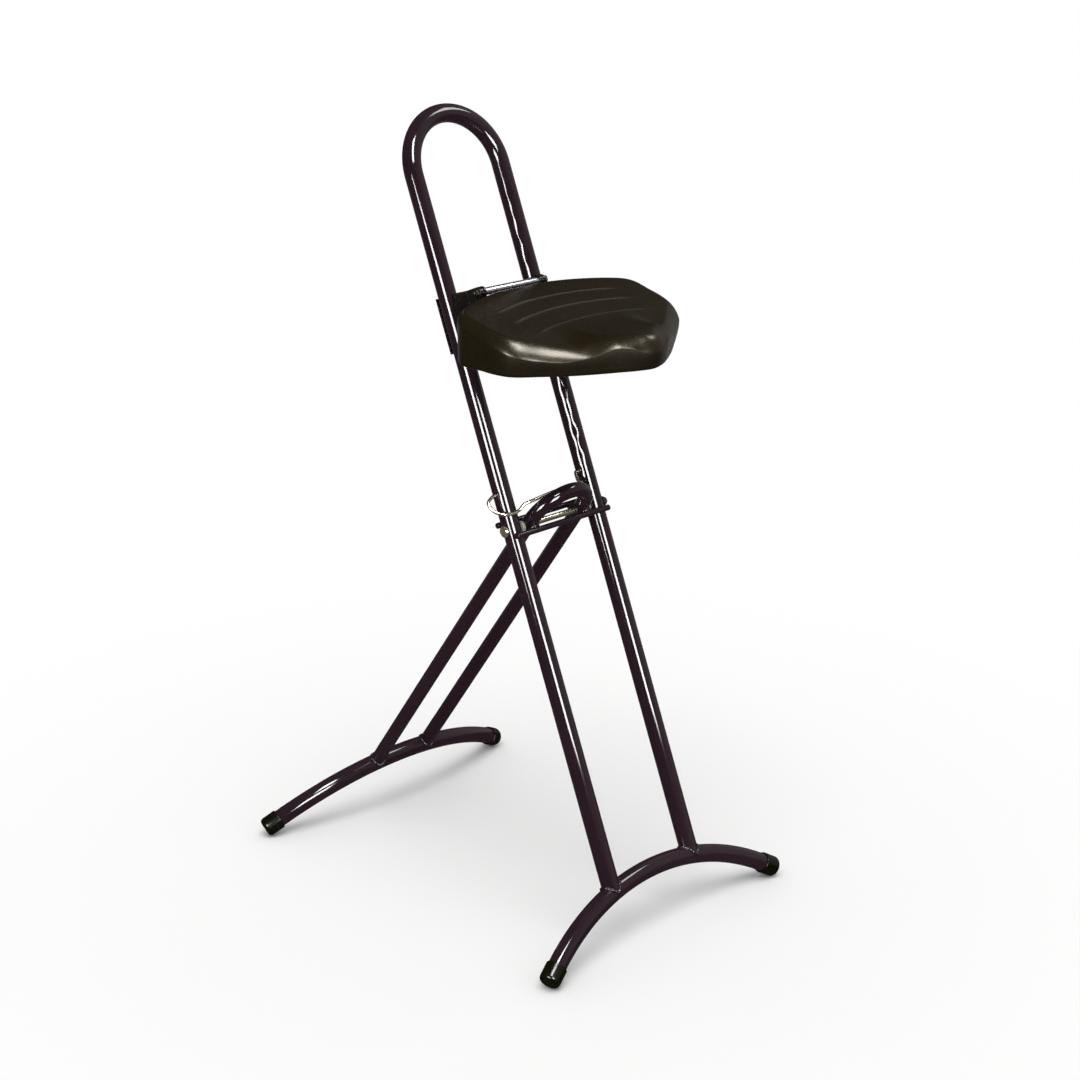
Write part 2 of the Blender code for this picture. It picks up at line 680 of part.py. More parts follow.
def liner_mesh():
    """The right-hand glide liner: a block hollowed to ride on the tube."""
    top = CARRIAGE_TOP - LINER_DROP
    block = bpy.data.objects.new("liner", box((GUIDE_OUTER + CLEAR, -TUBE_RADIUS,
                                               top - LINER_LENGTH),
                                              (LINER_REACH, TUBE_RADIUS, top)))
    CUTTERS.objects.link(block)
    hollow = cutter("liner_hollow", rod(0, HANDLE_REACH, TUBE_RADIUS + CLEAR, "Z",
                                        (LEG_SPACING / 2, 0)))
    combine(block, hollow)
    mesh = mesh_from(block)
    bpy.data.objects.remove(hollow, do_unlink=True)
    return mesh


def seat_carriage():
    guide = guide_mesh()
    liner = liner_mesh()
    for name, side in SIDES:
        own = guide.copy() if side > 0 else mirrored(guide)
        piece(f"guide_bracket_{name}", own, BRACKET_STEEL, FRONT)
        own = liner.copy() if side > 0 else mirrored(liner)
        piece(f"glide_liner_{name}", own, NYLON, FRONT)


def axle():
    place = (-AXLE_FORWARD, AXLE_UP)
    bore = AXLE_BOLT_RADIUS + CLEAR
    washer_at = GUIDE_OUTER + CLEAR
    hex_at = washer_at + WASHER_THICK + CLEAR
    end = GUIDE_INNER - CLEAR
    piece("axle_sleeve", turned(ring_profile(SLEEVE_RADIUS, bore, -end, end), ring=True), ZINC,
          FRONT, along_x(0, 1, place))
    for name, side in SIDES:
        washer = turned(ring_profile(WASHER_RADIUS, bore, 0, WASHER_THICK), ring=True)
        piece(f"axle_washer_{name}", washer, ZINC, FRONT, along_x(washer_at, side, place))
    tail = -(hex_at + HEX_HEIGHT + AXLE_END)
    shank = rod(tail, hex_at + HEX_HEIGHT / 2, AXLE_BOLT_RADIUS, place=place)
    head = placed(hexagon(HEX_RADIUS, 0, HEX_HEIGHT), along_x(hex_at, 1, place))
    piece("axle_bolt", joined("axle_bolt", [shank, head]), ZINC, FRONT)
    nut = piece("axle_nut", hexagon(HEX_RADIUS, 0, HEX_HEIGHT), ZINC, FRONT,
                along_x(hex_at, -1, place))
    hole = rod(-hex_at - HEX_HEIGHT - OVERRUN, -hex_at + OVERRUN, bore, place=place)
    combine(nut, cutter("axle_nut_hole", hole, FRONT))


# Seat, in axes that start on the axle


def underside(depth):
    """Height of the pad's underside at this depth from its rear edge."""
    return -SEAT_UNDER + UNDER_RISE * depth / SEAT_DEPTH


def top_heights():
    """Depths and heights along the middle of the pad's top."""
    points = [Vector((depth * SEAT_DEPTH, height * SEAT_FALL)) for depth, height in TOP_SHARES]
    return catmull_rom(points, CURVE_STEPS)


def top_height(profile, across, depth):
    """Height of the pad's top: its middle line, dished between the sides."""
    depth = min(max(depth, profile[0][0]), profile[-1][0])
    for a, b in zip(profile, profile[1:]):
        if depth <= b[0]:
            break
    share = (depth - a[0]) / (b[0] - a[0])
    return a[1] + (b[1] - a[1]) * share + SIDE_RISE * (across / SEAT_HALF_WIDTH) ** 2


def seat_outline():
    half = [Vector((out * SEAT_HALF_WIDTH, depth * SEAT_DEPTH)) for out, depth in OUTLINE_SHARES]
    left = [Vector((-p.x, p.y)) for p in half[-2:0:-1]]
    return catmull_rom(half + left, CURVE_STEPS, closed=True)


def pad_rings():
    """The pad from its underside up over the rim, as rings of (across, depth, height)."""
    outline = seat_outline()
    count = len(outline)
    profile = top_heights()
    outward = []
    for i in range(count):
        along = outline[(i + 1) % count] - outline[i - 1]
        outward.append(Vector((along.y, -along.x)).normalized())
    middle = Vector((0, SEAT_DEPTH / 2))
    rings = []

    def ring(inset, height):
        points = [p - n * inset(p) for p, n in zip(outline, outward)]
        rings.append([(q.x, q.y, height(p, q)) for p, q in zip(outline, points)])

    def flare(p):
        return -SEAT_DRAFT * min(max(2 * p.y / SEAT_DEPTH, 0), 1)

    def rim(p):
        return SEAT_RIM + (NOSE_RIM - SEAT_RIM) * max(p.y / SEAT_DEPTH, 0)

    ring(lambda p: UNDER_ROUND + flare(p), lambda p, q: underside(q.y))
    ring(lambda p: UNDER_ROUND / 4 + flare(p), lambda p, q: underside(q.y) + UNDER_ROUND / 4)
    ring(flare, lambda p, q: underside(q.y) + UNDER_ROUND)
    for step in range(CURVE_STEPS + 1):
        angle = math.pi / 2 * step / CURVE_STEPS
        ring(lambda p: rim(p) * (1 - math.cos(angle)),
             lambda p, q: top_height(profile, q.x, q.y) - rim(p) * (1 - math.sin(angle)))
    edge = rings[-1]
    for share in CROWN_SHARES:
        points = [middle + (Vector(p[:2]) - middle) * (1 - share) for p in edge]
        rings.append([(q.x, q.y, top_height(profile, q.x, q.y)) for q in points])
    return rings, middle, profile


def pad_mesh():
    rings, middle, profile = pad_rings()
    work = bmesh.new()
    rows = [[work.verts.new((x, -SEAT_AHEAD - depth, z)) for x, depth, z in ring]
            for ring in rings]
    count = len(rows[0])
    for lower, upper in zip(rows, rows[1:]):
        for i in range(count):
            j = (i + 1) % count
            work.faces.new((lower[i], lower[j], upper[j], upper[i]))
    place = (0, -SEAT_AHEAD - middle.y)
    low = work.verts.new((*place, underside(middle.y)))
    high = work.verts.new((*place, top_height(profile, 0, middle.y)))
    for i in range(count):
        j = (i + 1) % count
        work.faces.new((rows[0][j], rows[0][i], low))
        work.faces.new((rows[-1][i], rows[-1][j], high))
    bmesh.ops.recalc_face_normals(work, faces=work.faces)
    mesh = bpy.data.meshes.new("seat_pad")
    work.to_mesh(mesh)
    work.free()
    return mesh


def support_mesh():
    """Bottom plate and rear web from one bent strip, a lug at each side, a clamp bar."""
    web_front = -SEAT_AHEAD + CLEAR
    web_back = web_front + SUPPORT_PLATE
    tip = -SEAT_AHEAD - SUPPORT_LENGTH
    base = underside(0) - CLEAR
    tip_top = underside(SUPPORT_LENGTH) - CLEAR
    foot = base - SUPPORT_PLATE
    strip = [(tip, tip_top - SUPPORT_PLATE), (web_back, foot), (web_back, -WEB_TOP),
             (web_front, -WEB_TOP), (web_front, base), (tip, tip_top)]
    lug_inner = SUPPORT_HALF - SUPPORT_PLATE
    lug = [(web_front, foot), (web_back, foot), (LUG_REAR, -WEB_TOP)]
    lug += arc((0, 0), LUG_RADIUS, -30, 180, 3 * CURVE_STEPS)
    shapes = [plate(strip, -SUPPORT_HALF + CLEAR, SUPPORT_HALF - CLEAR)]
    shapes += [plate(lug, lug_inner, SUPPORT_HALF), plate(lug, -SUPPORT_HALF, -lug_inner)]
    shapes.append(box((-CLAMP_HALF, web_front, foot), (CLAMP_HALF, web_back, foot + CLAMP_HEIGHT)))
    return joined("seat_support", shapes)


def shoe_mesh():
    """The right-hand brake shoe: a wedge between the clamp bar and the guide's front flange."""
    front = -SEAT_AHEAD + CLEAR + SUPPORT_PLATE + CLEAR
    foot = underside(0) - CLEAR - SUPPORT_PLATE
    low = foot + SHOE_DROP
    high = foot + CLAMP_HEIGHT

    def flange(z):
        room = AXLE_FORWARD - FLANGE_OUTER - CLEAR
        return (room + z * math.sin(FRONT_LEAN)) / math.cos(FRONT_LEAN)

    wedge = [(front, low), (flange(low), low), (flange(high), high), (front, high)]
    return plate(wedge, SHOE_INNER, SHOE_INNER + SHOE_WIDTH)


def seat():
    pad = piece("seat_pad", pad_mesh(), SEAT_FOAM, SEAT)
    support = piece("seat_support", support_mesh(), BRACKET_STEEL, SEAT)
    sleeve = rod(-SUPPORT_HALF - OVERRUN, SUPPORT_HALF + OVERRUN, SLEEVE_RADIUS + CLEAR)
    combine(support, cutter("lug_bore", sleeve, SEAT))
    shoe = shoe_mesh()
    for name, side in SIDES:
        own = shoe.copy() if side > 0 else mirrored(shoe)
        piece(f"brake_shoe_{name}", own, SHOE_RUBBER, SEAT)
    slope = math.atan2(UNDER_RISE, SEAT_DEPTH)
    profile = [(0, SCREW_LENGTH), (SCREW_RADIUS, SCREW_LENGTH - SCREW_RADIUS), (SCREW_RADIUS, 0),
               (SCREW_HEAD_RADIUS, 0), (SCREW_HEAD_RADIUS, -SCREW_HEAD_HEIGHT / 2),
               (SCREW_HEAD_RADIUS - SCREW_HEAD_HEIGHT / 2, -SCREW_HEAD_HEIGHT),
               (0, -SCREW_HEAD_HEIGHT)]
    number = 0
    for share in SCREW_DEPTH_SHARES:
        for _, side in SIDES:
            number += 1
            depth = share * SUPPORT_LENGTH
            height = underside(depth) - 2 * CLEAR - SUPPORT_PLATE
            matrix = Matrix.Translation((side * (SUPPORT_HALF - SCREW_INSET),
                                         -SEAT_AHEAD - depth, height))
            matrix = matrix @ Matrix.Rotation(-slope, 4, "X")
            piece(f"seat_screw_{number}", turned(profile), ZINC, SEAT, matrix)
            hole = rod(-CLEAR / 2, SCREW_LENGTH + CLEAR, SCREW_RADIUS + CLEAR, "Z")
            hole = cutter(f"screw_hole_{number}", hole, SEAT, matrix)
            combine(pad, hole)
            combine(support, hole)


clear_scene()
PARTS = new_collection("sit_stand_stool")
CUTTERS = new_collection("cutters")
SIDES = (("left", -1), ("right", 1))

PAINT = new_material("gloss_black_paint", (0.020, 0.016, 0.021), 0.18)
CAP_PLASTIC = new_material("black_cap_plastic", (0.012, 0.012, 0.010), 0.35)
ZINC = new_material("zinc_plate", (0.62, 0.61, 0.55), 0.30, 1.0)
DARK_STEEL = new_material("blackened_steel", (0.05, 0.05, 0.05), 0.40, 1.0)
BRACKET_STEEL = new_material("black_bracket_paint", (0.030, 0.029, 0.024), 0.35)
NYLON = new_material("black_nylon", (0.025, 0.025, 0.024), 0.45)
BUSH_PLASTIC = new_material("pale_bush_plastic", (0.50, 0.52, 0.44), 0.45)
SEAT_FOAM = new_material("brown_black_foam_skin", (0.034, 0.028, 0.021), 0.42)
SHOE_RUBBER = new_material("brake_shoe_rubber", (0.022, 0.022, 0.021), 0.70)

PIVOT = (0, PIVOT_Y, PIVOT_Z)
FRONT = axes("front_axes", location=PIVOT, lean=-FRONT_LEAN)
REAR = axes("rear_axes", location=PIVOT, lean=REAR_LEAN)
BAIL = axes("bail_axes", FRONT, (0, 0, BAIL_HEIGHT))
AXLE = axes("axle_axes", FRONT, (0, -AXLE_FORWARD, AXLE_UP))
SEAT = axes("seat_axes", AXLE, lean=FRONT_LEAN)
FLOOR = cutter("floor", box((-REAR_REACH, -REAR_REACH, -FRONT_REACH),
                            (REAR_REACH, REAR_REACH, 0)))

front_frame()
rear_frame()
pivot_bolt()
pivot_nut()
pivot_spacers_and_bushes()
stop_rods()
latch_bail()
seat_carriage()
axle()
seat()
bpy.context.view_layer.update()
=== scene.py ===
import math

import bmesh
import bpy
import numpy as np
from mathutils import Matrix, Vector


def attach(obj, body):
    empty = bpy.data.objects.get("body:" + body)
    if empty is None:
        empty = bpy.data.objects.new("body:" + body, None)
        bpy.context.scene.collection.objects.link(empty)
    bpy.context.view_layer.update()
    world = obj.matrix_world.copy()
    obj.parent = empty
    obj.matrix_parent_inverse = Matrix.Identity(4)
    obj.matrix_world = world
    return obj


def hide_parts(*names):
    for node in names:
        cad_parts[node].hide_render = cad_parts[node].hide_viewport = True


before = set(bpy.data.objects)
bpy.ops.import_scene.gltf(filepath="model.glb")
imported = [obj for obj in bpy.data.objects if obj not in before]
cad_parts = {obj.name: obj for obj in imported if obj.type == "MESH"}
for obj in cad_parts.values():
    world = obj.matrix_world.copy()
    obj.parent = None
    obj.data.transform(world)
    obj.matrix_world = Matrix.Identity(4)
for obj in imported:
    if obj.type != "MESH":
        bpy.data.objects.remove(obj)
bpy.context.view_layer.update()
print("frame loaded")

# Metres throughout. A frame's own axes start on the pivot bolt: z runs up its tubes, and y is
# square to its plane, away from the sitter.
stance = {"pivot": (0, -0.075622, 0.534385), "frontLean": 22.55, "rearLean": 35.8461}
ends = ("left", "right")
sign = {"left": -1, "right": 1}
scene = bpy.context.scene


def leaning(degrees):  # axes turned about x, so a positive angle tips the top towards -y
    c, s = math.cos(math.radians(degrees)), math.sin(math.radians(degrees))
    turn = np.array([[1, 0, 0], [0, c, -s], [0, s, c]])
    return {"origin": np.array(stance["pivot"]), "turn": turn}


def toWorld(points, axes):
    return axes["origin"] + np.asarray(points, float) @ axes["turn"].T


frontAxes, rearAxes = leaning(-stance["frontLean"]), leaning(stance["rearLean"])


# shapes


def easeIn(value, low, high):  # 0 to 1, as 3t^2 - 2t^3
    t = np.clip((value - low) / (high - low), 0, 1)
    return t * t * (3 - 2 * t)


# Catmull-Rom curve: each span is half of (2b + (c-a)t + (2a-5b+4c-d)t^2 + (3b-a-3c+d)t^3).
def smoothCurve(points, steps, closed=False):
    p = np.asarray(points, float)
    if closed:
        a, b, c, d = (np.roll(p, k, axis=0) for k in (1, 0, -1, -2))
    else:
        p = np.vstack([2 * p[0] - p[1], p, 2 * p[-1] - p[-2]])
        a, b, c, d = p[:-3], p[1:-2], p[2:-1], p[3:]
    t = (np.arange(steps) / steps)[None, :, None]
    a, b, c, d = (x[:, None, :] for x in (a, b, c, d))
    spans = 0.5 * (2 * b + (c - a) * t + (2 * a - 5 * b + 4 * c - d) * t ** 2
                   + (3 * b - a - 3 * c + d) * t ** 3)
    curve = spans.reshape(-1, p.shape[1])
    return curve if closed else np.vstack([curve, p[-2]])


# Profile with its corners rounded: each corner p becomes (1-t)^2 in + 2t(1-t) p + t^2 out, where in
# and out lie that corner's reach away along its two sides.
def roundedProfile(corners, reaches, steps):
    p, reach = np.asarray(corners, float), np.asarray(reaches, float)[:, None]
    before, after = np.roll(p, 1, axis=0) - p, np.roll(p, -1, axis=0) - p
    before = p + before / np.linalg.norm(before, axis=1, keepdims=True) * reach
    after = p + after / np.linalg.norm(after, axis=1, keepdims=True) * reach
    t = np.linspace(0, 1, steps)[None, :, None]
    curve = (1 - t) ** 2 * before[:, None] + 2 * t * (1 - t) * p[:, None] + t ** 2 * after[:, None]
    return curve.reshape(-1, 2)


# Turned shape: (r cos a, r sin a, h) for each (r, h) of the profile and each angle a.
def turned(profile, sides=64):
    r, h = np.asarray(profile, float).T[:, :, None]
    a = np.linspace(0, 2 * np.pi, sides, endpoint=False)[None, :]
    return np.stack([r * np.cos(a), r * np.sin(a), h + 0 * a], axis=-1)


# Swept tube: path + radius (cos a side + sin a up). The side direction is the path's flattest
# one, made square to the path at each point, so a flat path never twists.
def swept(path, radius, sides=40, closed=False):
    path = np.asarray(path, float)
    if closed:
        along = np.roll(path, -1, axis=0) - np.roll(path, 1, axis=0)
    else:
        along = np.gradient(path, axis=0)
    along /= np.linalg.norm(along, axis=1, keepdims=True)
    flattest = np.linalg.svd(along)[2][-1]
    side = flattest - (along @ flattest)[:, None] * along
    side /= np.linalg.norm(side, axis=1, keepdims=True)
    up = np.cross(along, side)
    a = np.linspace(0, 2 * np.pi, sides, endpoint=False)[None, :, None]
    reach = np.broadcast_to(np.asarray(radius, float), (len(path),))[:, None, None]
    return path[:, None] + reach * (np.cos(a) * side[:, None] + np.sin(a) * up[:, None])


# A turned piece laid along x: its own z points out to one side, from a distance off the middle.
def alongX(points, distance, side, place=(0, 0)):
    x, y, z = np.moveaxis(points, -1, 0)
    return np.stack([side * (distance + z), x + place[0], y + place[1]], axis=-1)


def gridFaces(rows, columns, joinRows, joinColumns):
    a, b = np.meshgrid(np.arange(rows - (not joinRows)), np.arange(columns - (not joinColumns)),
                       indexing="ij")
    c, d = (a + 1) % rows, (b + 1) % columns
    return np.stack([a * columns + b, c * columns + b, c * columns + d, a * columns + d],
                    axis=-1).reshape(-1, 4)


def layer(points, joinRows=False, joinColumns=True):
    return {"points": points, "faces": gridFaces(*points.shape[:2], joinRows, joinColumns)}


# Points closer than a join become one, and edges that turn more than an angle stay sharp.
meshing = {"join": 0.000002, "nodeJoin": 0.00001, "flatAngle": 1, "sharpAngle": 38,
           "bevelAngle": 35, "bevelSegments": 3}
# finish, body and width of the softened edges
plates = {"guide_bracket": ("bracketPaint", "seat_carriage", 0.0007),
          "glide_liner": ("nylon", "seat_carriage", 0.0006),
          "seat_support": ("bracketPaint", "seat", 0.0006),
          "brake_shoe": ("shoeRubber", "seat", 0.0007), "seat_screw": ("zincPlate", "seat", 0.0002)}


def objectFrom(name, mesh, work, sharp):
    work.to_mesh(mesh)
    work.free()
    mesh.shade_smooth()
    mesh.set_sharp_from_angle(angle=math.radians(sharp))
    piece = bpy.data.objects.new(name, mesh)
    scene.collection.objects.link(piece)
    return piece


def finishPiece(name, layers, finish, body, nodes=(), sharp=meshing["sharpAngle"]):
    counts = np.cumsum([0] + [x["points"].shape[0] * x["points"].shape[1] for x in layers])
    points = np.vstack([x["points"].reshape(-1, 3) for x in layers])
    faces = np.vstack([x["faces"] + start for x, start in zip(layers, counts)])
    mesh = bpy.data.meshes.new(name)
    mesh.from_pydata(points.tolist(), [], faces.tolist())
    work = bmesh.new()
    work.from_mesh(mesh)
    bmesh.ops.remove_doubles(work, verts=work.verts, dist=meshing["join"])  # closes seams and poles
    bmesh.ops.recalc_face_normals(work, faces=work.faces)
    return settle(objectFrom(name, mesh, work, sharp), finish, body, nodes)


def settle(piece, finish, body, nodes):
    piece.data.materials.clear()
    piece.data.materials.append(finishes[finish])
    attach(piece, body)
    if nodes:
        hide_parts(*nodes)
    return piece


# The plates keep the frame's shape and get softened edges. The node guide_bracket_left becomes the
# piece guideBracket.left.
def softenedNode(kind, which=None):
    finish, body, edge = plates[kind]
    node = f"{kind}_{which}" if which else kind
    first, second = kind.split("_")
    name = first + second.title() + (f".{which}" if which else "")
    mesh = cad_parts[node].data.copy()
    work = bmesh.new()
    work.from_mesh(mesh)
    bmesh.ops.remove_doubles(work, verts=work.verts, dist=meshing["nodeJoin"])
    bmesh.ops.dissolve_limit(work, angle_limit=math.radians(meshing["flatAngle"]), verts=work.verts,
                             edges=work.edges)
    piece = objectFrom(name, mesh, work, meshing["sharpAngle"])
    bevel = piece.modifiers.new("softEdges", "BEVEL")
    bevel.width, bevel.segments, bevel.limit_method = edge, meshing["bevelSegments"], "ANGLE"
    bevel.angle_limit, bevel.harden_normals = math.radians(meshing["bevelAngle"]), True
    return settle(piece, finish, body, [node])


# finishes


def addNode(tree, kind, **settings):
    node = tree.nodes.new(kind)
    for key, value in settings.items():
        setattr(node, key, value)
    return node


def setInputs(node, **values):
    for key, value in values.items():
        node.inputs[key].default_value = value
    return node


def startGroup(name, inputs, outputs):  # takes a vector and numbers, and puts out numbers
    group = bpy.data.node_groups.new(name, "ShaderNodeTree")
    group.interface.new_socket("Vector", in_out="INPUT", socket_type="NodeSocketVector")
    for label, value in inputs.items():
        socket = group.interface.new_socket(label, in_out="INPUT", socket_type="NodeSocketFloat")
        socket.default_value = value
    for label in outputs:
        group.interface.new_socket(label, in_out="OUTPUT", socket_type="NodeSocketFloat")
    return group, group.nodes.new("NodeGroupInput"), group.nodes.new("NodeGroupOutput")


def feed(tree, value, socket):  # the value is a number, a colour or another node's output
    if isinstance(value, bpy.types.NodeSocket):
        tree.links.new(value, socket)
    else:
        socket.default_value = (*value, 1) if isinstance(value, tuple) else value


def calculate(tree, operation, a, b):
    node = addNode(tree, "ShaderNodeMath", operation=operation)
    feed(tree, a, node.inputs[0])
    feed(tree, b, node.inputs[1])
    return node.outputs[0]


def remap(tree, value, low, high, toLow=0, toHigh=1):
    node = addNode(tree, "ShaderNodeMapRange", interpolation_type="SMOOTHSTEP")
    tree.links.new(value, node.inputs["Value"])
    setInputs(node, **{"From Min": low, "From Max": high, "To Min": toLow, "To Max": toHigh})
    return node.outputs["Result"]


def noiseField(tree, vector, scale, detail=2, rough=0.5):
    node = addNode(tree, "ShaderNodeTexNoise")
    feed(tree, scale, node.inputs["Scale"])
    setInputs(node, Detail=detail, Roughness=rough)
    tree.links.new(vector, node.inputs["Vector"])
    return node.outputs["Fac"]


skinNoise = {"grainDetail": 3, "grainRough": 0.6, "waveDetail": 1}
useMask = {"patchDetail": 5, "patchRough": 0.65, "patchRange": (0.5, 0.78),
           "lineStretch": (900, 60, 45), "lineTurn": (0.4, 0.3, 0.7), "lineRange": (0.7, 0.76),
           "dustFacing": (0.35, 1), "speckScale": 260, "speckDetail": 6, "speckRough": 0.7,
           "speckRange": (0.42, 0.8)}


# Skin: the small relief of a sprayed, plated or moulded surface, fine grain over slow waves.
def makeSkinGroup():
    group, start, end = startGroup(
        "skin", {"Grain Scale": 500, "Wave Scale": 30, "Wave Share": 0.5}, ("Height", "Grain"))
    grain = noiseField(group, start.outputs["Vector"], start.outputs["Grain Scale"],
                       skinNoise["grainDetail"], skinNoise["grainRough"])
    wave = noiseField(group, start.outputs["Vector"], start.outputs["Wave Scale"],
                      skinNoise["waveDetail"])
    waves = calculate(group, "MULTIPLY", wave, start.outputs["Wave Share"])
    group.links.new(calculate(group, "ADD", grain, waves), end.inputs["Height"])
    group.links.new(grain, end.inputs["Grain"])
    return group


# Use: rubbed patches, fine scratches, and dust where the surface faces up.
def makeUseGroup():
    group, start, end = startGroup("use", {"Patch Scale": 40, "Dust": 0.2},
                                   ("Rubbed", "Scratches", "Dust"))
    patch = noiseField(group, start.outputs["Vector"], start.outputs["Patch Scale"],
                       useMask["patchDetail"], useMask["patchRough"])
    group.links.new(remap(group, patch, *useMask["patchRange"]), end.inputs["Rubbed"])
    stretch = addNode(group, "ShaderNodeMapping")
    setInputs(stretch, Scale=useMask["lineStretch"], Rotation=useMask["lineTurn"])
    group.links.new(start.outputs["Vector"], stretch.inputs["Vector"])
    lines = noiseField(group, stretch.outputs["Vector"], 1.0)
    group.links.new(remap(group, lines, *useMask["lineRange"]), end.inputs["Scratches"])
    facing = addNode(group, "ShaderNodeNewGeometry")
    split = addNode(group, "ShaderNodeSeparateXYZ")
    group.links.new(facing.outputs["Normal"], split.inputs[0])
    level = remap(group, split.outputs["Z"], *useMask["dustFacing"])
    specks = noiseField(group, start.outputs["Vector"], useMask["speckScale"],
                        useMask["speckDetail"], useMask["speckRough"])
    settled = calculate(group, "MULTIPLY", level, remap(group, specks, *useMask["speckRange"]))
    dust = calculate(group, "MULTIPLY", settled, start.outputs["Dust"])
    group.links.new(dust, end.inputs["Dust"])
    return group


skinGroup, useGroup = makeSkinGroup(), makeUseGroup()


def blendColour(tree, amount, first, second):
    node = addNode(tree, "ShaderNodeMix", data_type="RGBA")
    for key, value in (("Factor", amount), ("A", first), ("B", second)):
        feed(tree, value, node.inputs[key])
    return node.outputs["Result"]


def startFinish(name, look):
    material = bpy.data.materials.new(name)
    material.use_nodes = True
    tree = material.node_tree
    shader = tree.nodes["Principled BSDF"]
    setInputs(shader, **{"Metallic": look["metal"], "Specular IOR Level": look["gloss"],
                         "Specular Tint": look.get("tint", (1, 1, 1, 1))})
    place = addNode(tree, "ShaderNodeTexCoord").outputs["Object"]
    skin = addNode(tree, "ShaderNodeGroup", node_tree=skinGroup)
    grain, wave, waveShare, depth = look["skin"]
    setInputs(skin, **{"Grain Scale": grain, "Wave Scale": wave, "Wave Share": waveShare})
    tree.links.new(place, skin.inputs["Vector"])
    use = addNode(tree, "ShaderNodeGroup", node_tree=useGroup)
    patch, dust = look["wear"][2:]
    setInputs(use, **{"Patch Scale": patch, "Dust": dust})
    tree.links.new(place, use.inputs["Vector"])
    relief = addNode(tree, "ShaderNodeBump")
    setInputs(relief, Strength=1.0, Distance=depth)
    tree.links.new(skin.outputs["Height"], relief.inputs["Height"])
    tree.links.new(relief.outputs["Normal"], shader.inputs["Normal"])
    return material, tree, place, use, skin, relief


# Dust lies over the colour, and rubbing and one more value add to the roughness.
def endFinish(material, tree, use, look, colour, more):
    shader = tree.nodes["Principled BSDF"]
    dustColour = look.get("dustColour", dustGrey)
    colour = blendColour(tree, use.outputs["Dust"], colour, dustColour)
    tree.links.new(colour, shader.inputs["Base Color"])
    wearAndSheen = calculate(tree, "MULTIPLY", use.outputs["Rubbed"], look["wear"][0])
    rough = calculate(tree, "ADD", calculate(tree, "ADD", wearAndSheen, more), look["rough"])
    tree.links.new(rough, shader.inputs["Roughness"])
    return material


plainShift = {"detail": 3, "range": (0.35, 0.7)}


# Plain finish: a colour that shifts over slow patches, rougher where rubbed or scratched.
def plainFinish(name, look):
    material, tree, place, use = startFinish(name, look)[:4]
    patches = noiseField(tree, place, look["shift"], plainShift["detail"])
    shift = remap(tree, patches, *plainShift["range"])
    colour = blendColour(tree, shift, look["colour"], look["second"])
    lined = calculate(tree, "MULTIPLY", use.outputs["Scratches"], look["wear"][1])
    return endFinish(material, tree, use, look, colour, lined)


# Moulded seat skin: a pebbled, leather-like grain in cells of unlike size.
def seatSkinFinish(name, look):
    material, tree, place, use, skin, relief = startFinish(name, look)
    pebble = addNode(tree, "ShaderNodeTexVoronoi", feature="SMOOTH_F1")
    setInputs(pebble, Scale=look["pebble"], Smoothness=look["pebbleSmooth"], Randomness=1.0)
    tree.links.new(place, pebble.inputs["Vector"])
    height = calculate(tree, "MULTIPLY", pebble.outputs["Distance"], look["pebbleLift"])
    grain = calculate(tree, "MULTIPLY", skin.outputs["Grain"], look["grainLift"])
    tree.links.new(calculate(tree, "ADD", height, grain), relief.inputs["Height"])
    patches = noiseField(tree, place, look["shift"], look["shiftDetail"], look["shiftRough"])
    shift = remap(tree, patches, *look["shiftRange"])
    colour = blendColour(tree, shift, look["colour"], look["second"])
    # Darker in the pebbles' pits, where the relief is lowest: painted shade.
    pitShade = remap(tree, pebble.outputs["Distance"], *look["pitShadeRange"], look["pitShadeShare"], 0.0)
    colour = blendColour(tree, pitShade, colour, look["pitShade"])
    # Paler along the ribs: a painted highlight where the ridges would catch the light.
    rib = addNode(tree, "ShaderNodeAttribute", attribute_name="rib")
    wearAndSheen = calculate(tree, "MULTIPLY", rib.outputs["Fac"], skin.outputs["Grain"])
    colour = blendColour(tree, wearAndSheen, colour, look["rib"])
    sparkle = remap(tree, skin.outputs["Grain"], *look["sparkleRange"], *look["sparkle"])
    return endFinish(material, tree, use, look, colour, sparkle)


dustGrey = (0.3, 0.29, 0.26)
